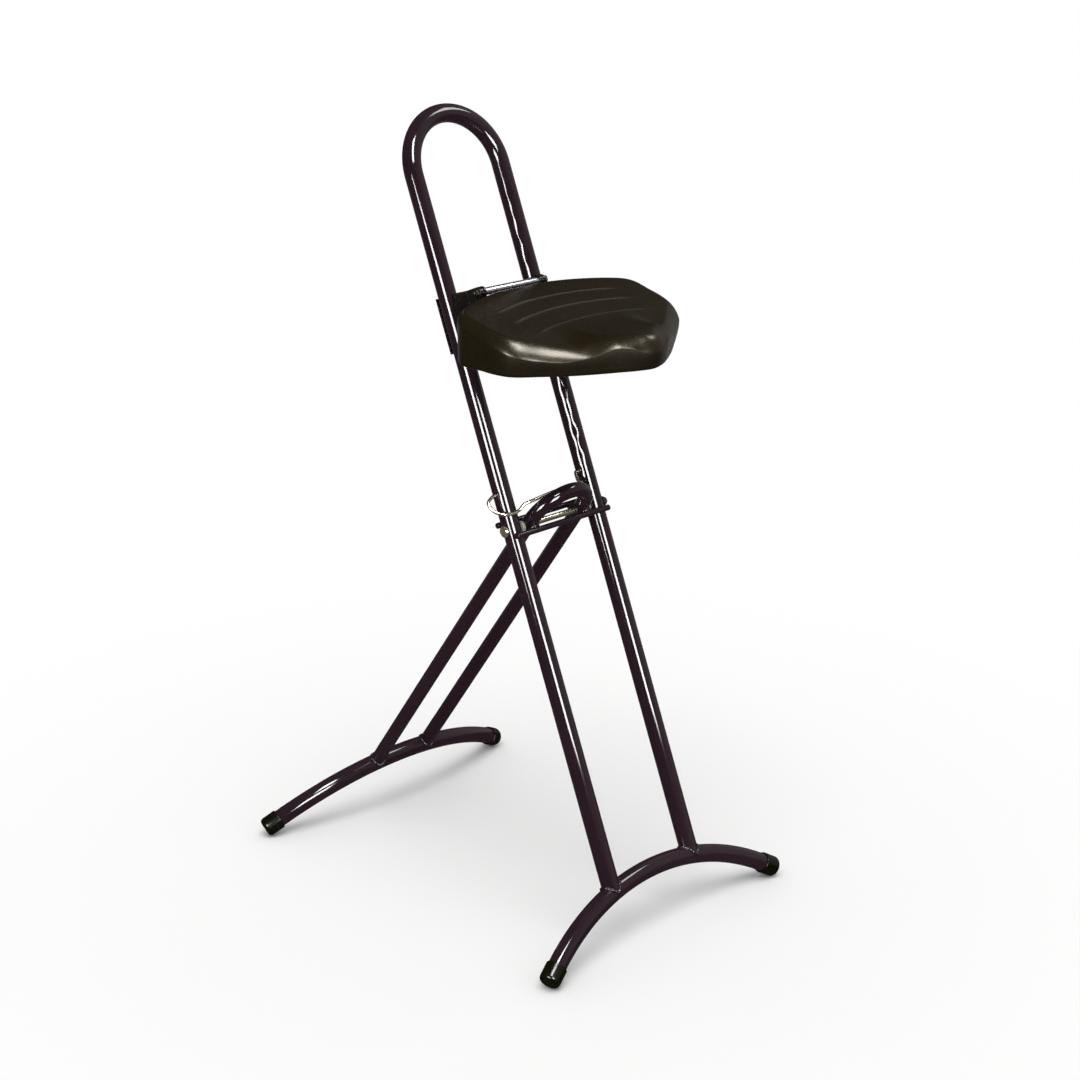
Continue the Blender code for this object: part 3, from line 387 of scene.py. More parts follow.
# Skin is the scales of the grain and the waves, the waves' share, and the depth of the relief. Wear
# is how much rougher rubbed patches and scratches are, the scale of the patches, and the dust.
lookNames = ("colour", "second", "metal", "gloss", "rough", "shift", "skin", "wear")
looks = {
    "tubePaint": ((0.0235, 0.0108, 0.017), (0.028, 0.0142, 0.0208), 0, 0.33, 0.075, 9,
                  (260, 22, 60, 0.0000016), (0.05, 0.05, 22, 0.03)),
    "capPlastic": ((0.005, 0.0046, 0.0006), (0.0072, 0.0066, 0.0014), 0, 0.24, 0.2, 60,
                   (900, 90, 0.6, 0.00002), (0.16, 0.2, 60, 0.02)),
    "zincPlate": ((0.76, 0.7, 0.52), (0.58, 0.53, 0.38), 0.85, 0.5, 0.15, 120,
                  (1300, 260, 1.2, 0.000007), (0.12, 0.12, 130, 0.04)),
    "steelBar": ((0.52, 0.51, 0.55), (0.4, 0.39, 0.42), 1, 0.5, 0.24, 80,
                 (1300, 200, 1, 0.000014), (0.14, 0.14, 90, 0.05)),
    "darkSteel": ((0.04, 0.036, 0.028), (0.065, 0.06, 0.048), 1, 0.5, 0.38, 150,
                  (1100, 200, 0.8, 0.00002), (0.12, 0.1, 120, 0.06)),
    "bracketPaint": ((0.006, 0.0044, 0.0016), (0.009, 0.0072, 0.0036), 0, 0.32, 0.27, 40,
                     (650, 70, 1, 0.000022), (0.18, 0.22, 45, 0.08)),
    "nylon": ((0.012, 0.012, 0.011), (0.018, 0.017, 0.015), 0, 0.4, 0.42, 90,
              (800, 120, 0.7, 0.00003), (0.12, 0.15, 80, 0.06)),
    "paleBush": ((0.56, 0.55, 0.43), (0.66, 0.65, 0.52), 0, 0.4, 0.38, 130,
                 (900, 160, 0.6, 0.00002), (0.12, 0.12, 150, 0.04)),
    "shoeRubber": ((0.012, 0.012, 0.011), (0.019, 0.018, 0.016), 0, 0.3, 0.62, 60,
                   (700, 90, 0.8, 0.00005), (0.14, 0.1, 70, 0.12)),
}
# The seat's darker pit colour is painted shade, laid into the grain's pits.
# The seat's pale rib colour is a painted highlight, laid along the ribs.
seatLook = {
    "colour": (0.015, 0.0096, 0.0026), "second": (0.0188, 0.0124, 0.004),
    "pitShade": (0.008, 0.0052, 0.0012), "rib": (0.13, 0.108, 0.074),
    "dustColour": (0.3, 0.24, 0.15), "metal": 0, "gloss": 0.27, "tint": (1, 0.94, 0.8, 1),
    "rough": 0.28, "skin": (1100, 25, 0.2, 0.00003), "wear": (-0.03, 0, 14, 0.012), "pebble": 620,
    "pebbleSmooth": 0.6, "pebbleLift": 1.3, "grainLift": 0.9, "shift": 16, "shiftDetail": 4,
    "shiftRough": 0.6, "shiftRange": (0.3, 0.72), "pitShadeRange": (0.05, 0.75),
    "pitShadeShare": 0.55, "sparkleRange": (0.3, 0.7), "sparkle": (-0.06, 0.07)}
finishes = {name: plainFinish(name, dict(zip(lookNames, look))) for name, look in looks.items()}
finishes["seatSkin"] = seatSkinFinish("seatSkin", seatLook)
print("finishes made:", len(finishes))


# tube frames


frontHoop = {"spacing": 0.1528, "radius": 0.0125, "reach": 0.5539, "leg": 0.4995, "sides": 56,
             "fine": (0.018, 0.078), "legSteps": 150, "holeHeight": 0.0486, "dimple": 0.0011,
             "spread": 0.0042,
             # shallow waves down the right leg: depth and half-width, the side they face, their
             # lengths, and where they fade in and out
             "waves": {"depth": 0.00055, "width": 0.0045, "facing": -116.5,
                       "lengths": (0.047, 0.031), "low": (0.04, 0.09), "high": (0.4, 0.47)}}
rearHoop = {"spacing": 0.096, "radius": 0.01, "reach": 0.054, "leg": 0.5703, "sides": 48,
            "fine": (-0.02, 0.004), "legSteps": 24}
frontBow = {"width": 0.4382, "rise": 0.076, "lean": 2.4, "radius": 0.0125, "straight": 0.024,
            "sides": 56}
rearBow = {"width": 0.4511, "rise": 0.0738, "lean": 3.8, "radius": 0.0125, "straight": 0.024,
           "sides": 56}
pathSteps = {"low": 24, "fine": 70, "bend": 97, "bow": 121, "end": 8}
cap = {"radius": 0.0144, "length": 0.026, "end": 0.004, "edge": 0.0068, "lip": 0.0008,
       "wall": 0.0016, "flare": 0.0001, "inside": 0.004, "rows": 10, "sides": 72, "sharp": 50}
bead = {"radius": 0.0023, "sunk": 0.15, "ripples": 26, "ripple": 0.1, "lumps": 3, "lump": 0.1,
        "steps": 260, "sides": 16, "highest": 0.04, "halvings": 30}


# Hoop: an upside-down U. Straight legs at x = -+R, and a half circle (R cos a, bend + R sin a).
def hoopPath(hoop):
    half = hoop["spacing"] / 2
    bend = hoop["reach"] - half
    low, high = hoop["fine"]
    z = np.concatenate([np.linspace(-hoop["leg"], low, pathSteps["low"], endpoint=False),
                        np.linspace(low, high, pathSteps["fine"], endpoint=False),
                        np.linspace(high, bend, hoop["legSteps"])])
    z = np.unique(np.minimum(z, bend))
    a = np.linspace(np.pi, 0, pathSteps["bend"])[1:-1]
    x = np.concatenate([-half + 0 * z, half * np.cos(a), half + 0 * z])
    up = np.concatenate([z, bend + half * np.sin(a), z[::-1]])
    return np.stack([x, 0 * x, up], axis=-1)


# Bow: an arc (r sin a, r cos a - junction) with straight ends, in a plane that leans off the legs'.
def bowShape(bow, hoop):
    r = (bow["width"] ** 2 / 4 + bow["rise"] ** 2) / (2 * bow["rise"])
    bend = math.asin(bow["width"] / 2 / r) - bow["straight"] / r
    return {"r": r, "bend": bend, "junction": math.sqrt(r * r - hoop["spacing"] ** 2 / 4)}


def bowPath(bow, hoop):
    shape = bowShape(bow, hoop)
    a = np.linspace(-shape["bend"], shape["bend"], pathSteps["bow"])
    x, t = shape["r"] * np.sin(a), shape["r"] * np.cos(a) - shape["junction"]
    run = np.linspace(0, bow["straight"], pathSteps["end"])[1:]
    dx, dt = run * math.cos(shape["bend"]), -run * math.sin(shape["bend"])
    x = np.concatenate([x[0] - dx[::-1], x, x[-1] + dx])
    t = np.concatenate([t[0] + dt[::-1], t, t[-1] + dt])
    lean = math.radians(bow["lean"])
    return np.stack([x, t * math.sin(lean), t * math.cos(lean) - hoop["leg"]], axis=-1)


# Weld bead: a rippled ring on the line where the leg's cylinder meets the bow's tube. Each angle's
# height is found by halving, until its distance to the bow's centreline is the bow's radius.
def saddleBead(bow, hoop, side):
    shape, lean = bowShape(bow, hoop), math.radians(bow["lean"])
    a = np.linspace(0, 2 * np.pi, bead["steps"], endpoint=False)
    proud = bead["radius"] * bead["sunk"]
    reach = hoop["radius"] + proud
    x, y = side * hoop["spacing"] / 2 + reach * np.cos(a), reach * np.sin(a)
    low, high = np.zeros_like(a), np.full_like(a, bead["highest"])
    for _ in range(bead["halvings"]):
        z = (low + high) / 2
        t = y * math.sin(lean) + z * math.cos(lean) + shape["junction"]
        n = y * math.cos(lean) - z * math.sin(lean)
        far = np.hypot(np.hypot(x, t) - shape["r"], n) > bow["radius"] + proud
        high, low = np.where(far, z, high), np.where(far, low, z)
    ripple = (1 + bead["ripple"] * np.sin(bead["ripples"] * a)
              + bead["lump"] * np.sin(bead["lumps"] * a + side))
    path = np.stack([x, y, z - hoop["leg"]], axis=-1)
    return swept(path, bead["radius"] * ripple, bead["sides"], closed=True)


# Cap: a turned cup over the tube's end, whose axis points along the given direction.
def capShape(end, direction):
    mouth, bore = cap["end"] - cap["length"], cap["radius"] - cap["wall"]
    profile = roundedProfile([(0, cap["end"]), (cap["radius"], cap["end"]),
                              (cap["radius"] + cap["flare"], mouth), (bore, mouth),
                              (bore, mouth + cap["inside"])],
                             [0, cap["edge"], cap["lip"], cap["lip"] / 2, 0], cap["rows"])
    points = turned(profile, cap["sides"])
    z = direction / np.linalg.norm(direction)
    x = np.cross((0, 1, 0), z)
    x /= np.linalg.norm(x)
    return end + points @ np.stack([x, np.cross(z, x), z])


# Waves: along the radius by depth * (sin + sin) of the height * u exp(-u^2), where u is the way
# round the tube from the side they face, over the half-width.
def legWaves(hoop, off, path):
    waves = hoop["waves"]
    turn = np.arctan2(off[..., 1], off[..., 0]) - math.radians(waves["facing"])
    u = ((turn + np.pi) % (2 * np.pi) - np.pi) * hoop["radius"] / waves["width"]
    z = path[..., 2]
    swing = sum(np.sin(2 * np.pi * z / length) for length in waves["lengths"])
    swing = swing * easeIn(z, *waves["low"]) * (1 - easeIn(z, *waves["high"])) * (path[..., 0] > 0)
    return off / hoop["radius"] * (waves["depth"] * swing * u * np.exp(-u * u))[..., None]


def makeFrame(hoop, bow, axes, body, title):
    path, legs = bowPath(bow, hoop), hoopPath(hoop)
    tube = swept(legs, hoop["radius"], hoop["sides"])
    if "dimple" in hoop:  # the drawn-in metal round the two holes of the latch wire
        for side in (-1, 1):
            hole = (side * hoop["spacing"] / 2 - hoop["radius"], 0, hoop["holeHeight"])
            gap = np.linalg.norm(tube - hole, axis=-1)
            tube[..., 0] += hoop["dimple"] * np.exp(-(gap / hoop["spread"]) ** 2)
    if "waves" in hoop:
        tube = tube + legWaves(hoop, tube - legs[:, None], legs[:, None])
    beads = [layer(toWorld(saddleBead(bow, hoop, side), axes), joinRows=True) for side in (-1, 1)]
    finishPiece(f"{title}Hoop", [layer(toWorld(tube, axes))], "tubePaint", body,
                [f"{title}_frame_tube"])
    bar = toWorld(swept(path, bow["radius"], bow["sides"]), axes)
    finishPiece(f"{title}Bow", [layer(bar)], "tubePaint", body, [f"{title}_foot_bow"])
    finishPiece(f"{title}Welds", beads, "tubePaint", body)
    line = toWorld(path, axes)
    for end, tip, before in ((ends[0], line[0], line[1]), (ends[1], line[-1], line[-2])):
        points = capShape(tip, tip - before)
        points[..., 2] = np.maximum(points[..., 2], 0)  # the worn flat under the cap
        finishPiece(f"{title}Cap.{end}", [layer(points)], "capPlastic", body,
                    [f"{title}_foot_cap_{end}"], sharp=cap["sharp"])


makeFrame(frontHoop, frontBow, frontAxes, "main_frame", "front")
makeFrame(rearHoop, rearBow, rearAxes, "rear_frame", "rear")
print("frames made")


# pivot


bolt = {"radius": 0.004, "clear": 0.0003, "headRadius": 0.0078, "headHeight": 0.0046,
        "land": 0.001, "slotWidth": 0.0023, "slotDepth": 0.0025, "slotTurn": 45,
        "floorShare": 0.72, "rows": 25, "columns": 49, "sides": 72, "shankSides": 40, "sharp": 30}
nut = {"corner": 0.0075, "height": 0.005, "dome": 0.0058, "domeShare": 0.94, "sunk": 0.0004,
       "domeSteps": 16}
hexagonEdge = {"fall": 0.5, "faceShare": 0.93, "sharp": 25}
spacer = {"radius": 0.0078, "bore": 0.0043, "inner": 0.0583, "outer": 0.0636, "edge": 0.0006}
bush = {"radius": 0.0056, "bore": 0.0043, "flange": 0.008, "flangeInner": 0.0357,
        "flangeOuter": 0.0377, "outer": 0.058,
        "edges": (0.0004, 0.0002, 0.0004, 0.0004, 0.0004, 0.0007)}
ringSteps = 5
rods = {"radius": 0.004, "length": 0.171, "gap": 0.0003, "edge": 0.001, "edgeSteps": 8,
        "sides": 48, "weld": 0.0038, "weldLength": 0.015, "weldOff": 0.011, "weldTip": 0.0001,
        "weldSides": 20, "weldSteps": 61, "ripple": 0.05, "ripples": 16, "wander": 0.0002,
        "wanders": 9}


# Slotted head: two halves. Each is a grid over y = t Y and x from the slot's wall to the rim
# circle of radius R, with height land + (top - land) sqrt(1 - (r / R)^2). Its edges drop down.
def slottedHead():
    radius, half = bolt["headRadius"], bolt["slotWidth"] / 2
    slotFloor = bolt["headHeight"] - bolt["slotDepth"]
    t = np.sin(np.linspace(-np.pi / 2, np.pi / 2, bolt["columns"]))[None, :]
    s = np.sin(np.linspace(0, np.pi / 2, bolt["rows"]))[:, None]
    y = t * math.sqrt(radius * radius - half * half) + 0 * s
    x = half + s * (np.sqrt(np.maximum(radius * radius - y * y, half * half)) - half)
    r = np.minimum(np.hypot(x, y) / radius, 1)
    z = bolt["land"] + (bolt["headHeight"] - bolt["land"]) * np.sqrt(1 - r ** 2)
    dome = np.stack([x, y, z], axis=-1)
    wall, rim, inner = dome[:1].copy(), dome[-1:].copy(), dome[:1].copy()
    wall[..., 2] = np.minimum(wall[..., 2], slotFloor)
    rim[..., 2] = inner[..., 2] = 0
    side = np.concatenate([inner, wall, dome, rim])
    other = side * np.array([-1, -1, 1])
    base = turned([(0, 0), (radius, 0), (radius, bolt["land"]),
                   (bolt["floorShare"] * radius, slotFloor), (0, slotFloor)], bolt["sides"])
    turn = math.radians(bolt["slotTurn"])
    c, s = math.cos(turn), math.sin(turn)
    turnZ = np.array([[c, s, 0], [-s, c, 0], [0, 0, 1]])
    return [layer(side @ turnZ, joinColumns=False), layer(other @ turnZ, joinColumns=False),
            layer(base @ turnZ)]


# Hexagon with turned-off corners: radius flat / cos(a mod 60 - 30), and a top that falls away
# by half of what the radius passes the flats.
def hexagon(corner, high, sides=72):
    a = np.linspace(0, 2 * np.pi, sides, endpoint=False)
    flat = corner * math.cos(math.pi / 6)
    r = flat / np.cos(np.mod(a, math.pi / 3) - math.pi / 6)
    fall, face = hexagonEdge["fall"] * (r - flat), hexagonEdge["faceShare"] * flat / r
    levels = ((0, high), (face, high), (1, high - fall), (1, fall), (face, 0), (0, 0))
    return np.stack([np.stack([k * r * np.cos(a), k * r * np.sin(a), h + 0 * a], axis=-1)
                     for k, h in levels])


# Ring round x, from an inner to an outer distance: a turned rectangle with rounded corners.
def ringProfile(ring):
    corners = [(ring[r], ring[h]) for r, h in (("radius", "outer"), ("radius", "inner"),
                                               ("bore", "inner"), ("bore", "outer"))]
    return roundedProfile(corners, [ring["edge"]] * len(corners), ringSteps)


def ringAlongX(profile, side, place):
    return [layer(alongX(turned(profile), 0, side, place), joinRows=True)]


def makePivot():
    at = frontHoop["spacing"] / 2 + frontHoop["radius"] + bolt["clear"]
    place = stance["pivot"][1:]
    head = slottedHead()
    for part in head:
        part["points"] = alongX(part["points"], at, -1, place)
    shank = turned([(0, -at), (bolt["radius"], -at), (bolt["radius"], at + nut["height"]),
                    (0, at + nut["height"])], bolt["shankSides"])
    finishPiece("pivotBolt", [*head, layer(alongX(shank, 0, 1, place))], "zincPlate", "main_frame",
                ["pivot_bolt"], sharp=bolt["sharp"])
    flat = nut["corner"] * math.cos(math.pi / 6)
    a = np.linspace(0, np.pi / 2, nut["domeSteps"])
    dome = turned(np.stack([nut["domeShare"] * flat * np.cos(a),
                            nut["height"] - nut["sunk"] + nut["dome"] * np.sin(a)], axis=-1))
    finishPiece("pivotNut", [layer(alongX(hexagon(nut["corner"], nut["height"]), at, 1, place)),
                             layer(alongX(dome, at, 1, place))], "darkSteel", "main_frame",
                ["pivot_nut"], sharp=hexagonEdge["sharp"])
    bushRing = roundedProfile(
        [(bush["flange"], bush["flangeOuter"]), (bush["radius"], bush["flangeOuter"]),
         (bush["radius"], bush["outer"]), (bush["bore"], bush["outer"]),
         (bush["bore"], bush["flangeInner"]), (bush["flange"], bush["flangeInner"])],
        bush["edges"], ringSteps)
    for end in ends:
        finishPiece(f"pivotSpacer.{end}", ringAlongX(ringProfile(spacer), sign[end], place),
                    "paleBush", "main_frame", [f"pivot_spacer_{end}"])
        finishPiece(f"pivotBush.{end}", ringAlongX(bushRing, sign[end], place), "nylon",
                    "rear_frame", [f"pivot_bush_{end}"])


# Stop rods: each touches both front tubes, so it stands off the bolt by the tube's and the rod's
# radii along the front frame's y, and lies in the line that halves the frames' opening.
def makeStopRods():
    opening = math.radians(stance["frontLean"] + stance["rearLean"])
    forward = frontHoop["radius"] + rods["radius"] + rods["gap"]
    drop = forward * math.tan(opening / 2)
    back = -drop * math.sin(opening) - forward * math.cos(opening)
    up = -drop * math.cos(opening) + forward * math.sin(opening)
    half = rods["length"] / 2
    radius, edge = rods["radius"], rods["edge"]
    profile = roundedProfile([(0, -half), (radius, -half), (radius, half), (0, half)],
                             [0, edge, edge, 0], rods["edgeSteps"])
    s = np.linspace(-1, 1, rods["weldSteps"])
    ripple = 1 + rods["ripple"] * np.sin(rods["ripples"] * s)
    weld = rods["weld"] * (1 - s ** 4) * ripple + rods["weldTip"]
    for name, side in (("front", 1), ("rear", -1)):
        rod = alongX(turned(profile, rods["sides"]), 0, 1, (side * back, side * up))
        layers = [layer(toWorld(rod, rearAxes))]
        off = math.copysign(rods["weldOff"], side * back)
        off = off + rods["wander"] * np.sin(rods["wanders"] * s)
        for hand in (-1, 1):  # a rippled bead, thin at its ends, on the arm's side
            path = np.stack([hand * rearHoop["spacing"] / 2 + s * rods["weldLength"] / 2, off,
                             np.full_like(s, side * up)], axis=-1)
            layers.append(layer(toWorld(swept(path, weld, rods["weldSides"]), rearAxes)))
        finishPiece(f"stopRod.{name}", layers, "tubePaint", "rear_frame", [f"stop_rod_{name}"])


makePivot()
makeStopRods()
print("pivot made")


# latch wire


latch = {"radius": 0.00225, "tip": 0.0001, "height": 0.0486, "drop": 0.028, "round": 0.01505,
         "leftTuck": 0.0036, "rightTuck": 0.0044, "steps": 14, "sides": 28,
         # round the left tube: out from its axis, drop, ahead
         "loop": ((-0.771, 0.000, 0.000), (-1.070, 0.000, 0.000), (-1.688, 0.161, 0.013),
                  (-1.847, 0.375, 0.106), (-1.628, 0.725, 0.405), (-1.037, 0.961, 0.870),
                  (-0.186, 1.000, 0.983), (0.518, 0.932, 1.083), (1.023, 0.739, 1.355)),
         # across the arms: out from the middle, drop, ahead
         "bar": ((-0.969, 0.668, 1.661), (-0.048, 0.554, 1.402), (0.892, 0.550, 1.369),
                 (1.079, 0.375, 0.538), (1.219, 0.025, 0.033))}


# Wire: a smooth curve from hole to hole, through the loop's and the bar's points.
def makeLatch():
    half = frontHoop["spacing"] / 2
    out, drop, ahead = np.array(latch["loop"]).T
    loop = np.stack([-half + out * latch["round"], -ahead * latch["round"],
                     -drop * latch["drop"]], axis=-1)
    out, drop, ahead = np.array(latch["bar"]).T
    bar = np.stack([out * rearHoop["spacing"] / 2, -ahead * latch["round"],
                    -drop * latch["drop"]], axis=-1)
    path = np.vstack([[-half - latch["leftTuck"], 0, 0], loop, bar,
                      [half - frontHoop["radius"], 0, 0], [half - latch["rightTuck"], 0, 0]])
    path = smoothCurve(path, latch["steps"]) + np.array([0, 0, latch["height"]])
    radius = np.full(len(path), latch["radius"])
    radius[[0, -1]] = latch["tip"]
    wire = swept(path, radius, latch["sides"])
    finishPiece("latchWire", [layer(toWorld(wire, frontAxes))], "zincPlate", "latch",
                ["latch_bail"])


makeLatch()
print("latch made")


# seat carriage and axle


axle = {"forward": 0.0385, "up": 0.3085, "bolt": 0.003, "boltEdges": (0, 0.0006, 0.0001, 0),
        "boltSides": 40, "past": 0.003, "intoHead": 0.001,
        "hex": 0.0058, "hexInner": 0.059, "hexHeight": 0.0045}
sleeve = {"radius": 0.005, "bore": 0.0033, "inner": -0.0537, "outer": 0.0537, "edge": 0.0004}
washer = {"radius": 0.007, "bore": 0.0033, "inner": 0.0573, "outer": 0.0587, "edge": 0.0003}


def makeCarriage():
    place = toWorld([0, -axle["forward"], axle["up"]], frontAxes)[1:]
    for end in ends:
        softenedNode("guide_bracket", end)
        softenedNode("glide_liner", end)
        finishPiece(f"axleWasher.{end}", ringAlongX(ringProfile(washer), sign[end], place),
                    "darkSteel", "seat_carriage", [f"axle_washer_{end}"])
    finishPiece("axleSleeve", ringAlongX(ringProfile(sleeve), 1, place), "steelBar",
                "seat_carriage", ["axle_sleeve"])
    tail = -(axle["hexInner"] + axle["hexHeight"] + axle["past"])
    head = axle["hexInner"] + axle["intoHead"]
    profile = roundedProfile([(0, tail), (axle["bolt"], tail), (axle["bolt"], head), (0, head)],
                             axle["boltEdges"], ringSteps)
    shank = turned(profile, axle["boltSides"])
    headShape = hexagon(axle["hex"], axle["hexHeight"])
    finishPiece("axleBolt", [layer(alongX(shank, 0, 1, place)),
                             layer(alongX(headShape, axle["hexInner"], 1, place))], "darkSteel",
                "seat_carriage", ["axle_bolt"], sharp=hexagonEdge["sharp"])
    finishPiece("axleNut", [layer(alongX(headShape, axle["hexInner"], -1, place))], "darkSteel",
                "seat_carriage", ["axle_nut"], sharp=hexagonEdge["sharp"])


makeCarriage()
print("carriage made")


# seat


seat = {
    "depth": 0.261, "half": 0.1522, "ahead": 0.0084,
    "fall": 0.0402, "sideRise": 0.0028, "under": 0.0665, "underRise": 0.004,
    "underFrom": 0.7, "underRound": 0.006, "tuck": 0.003, "tuckRange": (0.1, 0.5),
    # the rim's inset, drop and squareness at the rear, then what they turn into from one share of
    # the depth to another: at the lobes, along the nose's flanks and round its tip
    "edge": (0.0130, 0.0145, 1.0),
    "edges": ((0.34, 0.60, 0.0168, 0.0174, 1.55), (0.74, 0.86, 0.0240, 0.0125, 1.80),
              (0.94, 0.985, 0.0160, 0.0190, 1.2)),
    "topSquareness": (0.67, 3),  # the rim's upper squareness is the first plus p over the second
    # half-width and depth from the rear middle round to the nose
    "outline": ((0.00, 0.002), (0.20, 0.003), (0.356, 0.023), (0.970, 0.200), (1.040, 0.400),
                (1.034, 0.525), (0.968, 0.606), (0.800, 0.686), (0.635, 0.764), (0.450, 0.848),
                (0.305, 0.907), (0.165, 0.958), (0.00, 0.988)),
    # depth, and height above the axle over the fall
    "top": ((0.00, 0.04), (0.08, 0.08), (0.15, 0.04), (0.27, -0.10), (0.38, -0.26),
            (0.52, -0.45), (0.66, -0.53), (0.80, -0.48), (0.90, -0.44), (1.00, -0.56)),
    # the thigh lobes beside the nose fall away: how far, from and to which depth and half-width
    "lobeFall": 0.0105, "lobeDepth": (0.5, 0.76), "lobeWidth": (0.28, 0.52),
    # ribs across the seat: depth at the middle, how far the ends run forward, half-length, height
    "ribs": ((0.235, 0.15, 0.78, 0.0008), (0.357, 0.15, 0.78, 0.0007), (0.5, 0.15, 0.72, 0.0004)),
    "ribWidth": 0.0028, "ribFade": 0.18, "ribLow": -0.045, "ribLowFade": 0.01,
    # rings on each part of the surface, and steps along each span of the outline and the top
    "floorRings": 14, "roundRings": 6, "sideRings": (*(k / 8 for k in range(1, 8)), 0.96, 0.99),
    "rimRings": 20, "crownRings": 120, "spanSteps": 24, "topSteps": 12, "sharp": 80, "fill": 0.95}


# The pad is one grid: rings that follow the outline, from the middle of the underside out, up the
# side, over a rounded rim and in across the top. A ring is outline - normal * inset at its height.
# At an angle a the rim is inset by inset (1 - cos^q a), and drop (1 - sin^p a) below the top.
def seatGrid():
    half = np.array(seat["outline"]) * np.array([seat["half"], seat["depth"]])
    left = half[-2:0:-1] * np.array([-1, 1])
    outline = smoothCurve(np.vstack([half, left]), seat["spanSteps"], closed=True)
    along = np.roll(outline, -1, axis=0) - np.roll(outline, 1, axis=0)
    normal = np.stack([along[:, 1], -along[:, 0]], axis=-1)
    normal /= np.linalg.norm(normal, axis=1, keepdims=True)
    spine = smoothCurve(np.array(seat["top"]) * np.array([seat["depth"], seat["fall"]]),
                        seat["topSteps"])
    share = np.clip(outline[:, 1] / seat["depth"], 0, 1)
    tuck = seat["tuck"] * easeIn(share, *seat["tuckRange"])
    edge = np.tile(seat["edge"], (len(share), 1))
    for low, high, *goal in seat["edges"]:
        edge += (np.array(goal) - edge) * easeIn(share, low, high)[:, None]
    rim, drop, power = edge.T
    least, divisor = seat["topSquareness"]
    topPower = least + power / divisor

    def top(points):
        ridge = np.interp(points[:, 1], spine[:, 0], spine[:, 1])
        across, deep = np.abs(points[:, 0]) / seat["half"], points[:, 1] / seat["depth"]
        lobe = easeIn(across, *seat["lobeWidth"]) * easeIn(deep, *seat["lobeDepth"])
        return ridge + seat["sideRise"] * across ** 2 - seat["lobeFall"] * lobe

    def under(points):
        rise = easeIn(points[:, 1] / seat["depth"], seat["underFrom"], 1.0)
        return -seat["under"] + seat["underRise"] * rise

    def ring(inset, height):
        points = outline - normal * inset[:, None]
        return np.column_stack([points, height(points)])

    middle = np.array([0, seat["depth"] / 2])
    rings = []
    foot = ring(seat["underRound"] + tuck, under)
    for k in np.linspace(0, 1, seat["floorRings"])[:-1]:  # the flat underside
        points = middle + (foot[:, :2] - middle) * k
        rings.append(np.column_stack([points, under(points)]))
    for a in np.linspace(0, np.pi / 2, seat["roundRings"]):  # its rounded edge
        rings.append(ring(seat["underRound"] * (1 - math.sin(a)) + tuck,
                          lambda p: under(p) + seat["underRound"] * (1 - math.cos(a))))
    lower, upper = rings[-1], ring(0 * rim, lambda p: top(p) - drop)
    for k in seat["sideRings"]:  # the side, a little full
        rings.append(lower + (upper - lower) * np.array([math.sin(k * np.pi / 2)] * 2 + [k]))
    for a in np.linspace(0, np.pi / 2, seat["rimRings"]):  # the rim
        rings.append(ring(rim * (1 - math.cos(a) ** topPower),
                          lambda p: top(p) - drop * (1 - math.sin(a) ** power)))
    inner = rings[-1][:, :2]
    for k in np.linspace(1, 0, seat["crownRings"])[1:]:  # the top
        points = middle + (inner - middle) * k
        rings.append(np.column_stack([points, top(points)]))
    return np.stack(rings)


# Rib: exp(-((depth - line) / width)^2), faded out towards its ends, where the line runs forward
# with the square of the distance from the middle. The relief is each rib's height times this.
def ribShares(x, depth, height):
    onTop = np.clip((height - seat["ribLow"]) / seat["ribLowFade"], 0, 1)
    for start, forward, length, lift in seat["ribs"]:
        gap = (depth - start - forward * x ** 2) * seat["depth"] / seat["ribWidth"]
        fade = 1 - easeIn(np.abs(x), length - seat["ribFade"], length)
        yield lift, onTop * np.exp(-gap ** 2) * fade


def seatRelief(grid):
    shares = ribShares(grid[..., 0] / seat["half"], grid[..., 1] / seat["depth"], grid[..., 2])
    grid[..., 2] += sum(lift * share for lift, share in shares)
    return grid


# The same ribs as an attribute of the mesh, for a painted highlight along them.
def markRibs(pad, place):
    points = np.empty(len(pad.data.vertices) * 3)
    pad.data.vertices.foreach_get("co", points)
    x, y, z = (points.reshape(-1, 3) - place).T
    shares = list(ribShares(x / seat["half"], (-seat["ahead"] - y) / seat["depth"], z))
    strongest = max(lift for lift, share in shares)
    wearAndSheen = sum(lift / strongest * share ** 3 for lift, share in shares)
    pad.data.attributes.new("rib", "FLOAT", "POINT").data.foreach_set("value", np.clip(wearAndSheen, 0, 1))


def makeSeat():
    grid = seatRelief(seatGrid())
    place = toWorld([0, -axle["forward"], axle["up"]], frontAxes)
    points = np.stack([grid[..., 0], -seat["ahead"] - grid[..., 1], grid[..., 2]], axis=-1) + place
    pad = finishPiece("seatPad", [layer(points)], "seatSkin", "seat", ["seat_pad"],
                      sharp=seat["sharp"])
    markRibs(pad, place)
    softenedNode("seat_support")
    for end in ends:
        softenedNode("brake_shoe", end)
    for number in range(1, 5):
        softenedNode("seat_screw", number)


makeSeat()
print("seat made")


# room, lamps and camera


view = {"yaw": 43.8245, "down": 19.6259, "target": (-0.04745, -0.09852, 0.51862),
        "distance": 2.71829, "lens": 68.833, "sensor": 36.0, "clipEnd": 50.0}
floorLook = {"size": 12.0, "height": -0.0002, "colour": (0.97, 0.97, 0.965), "clearFrom": 0.45,
             "clearAt": 1.3, "mirrorTowards": (0.8, 0.6, 0.0), "mirrorFrom": 0.2,
             "mirrorAt": 3.0, "low": 0.03, "high": 0.25}
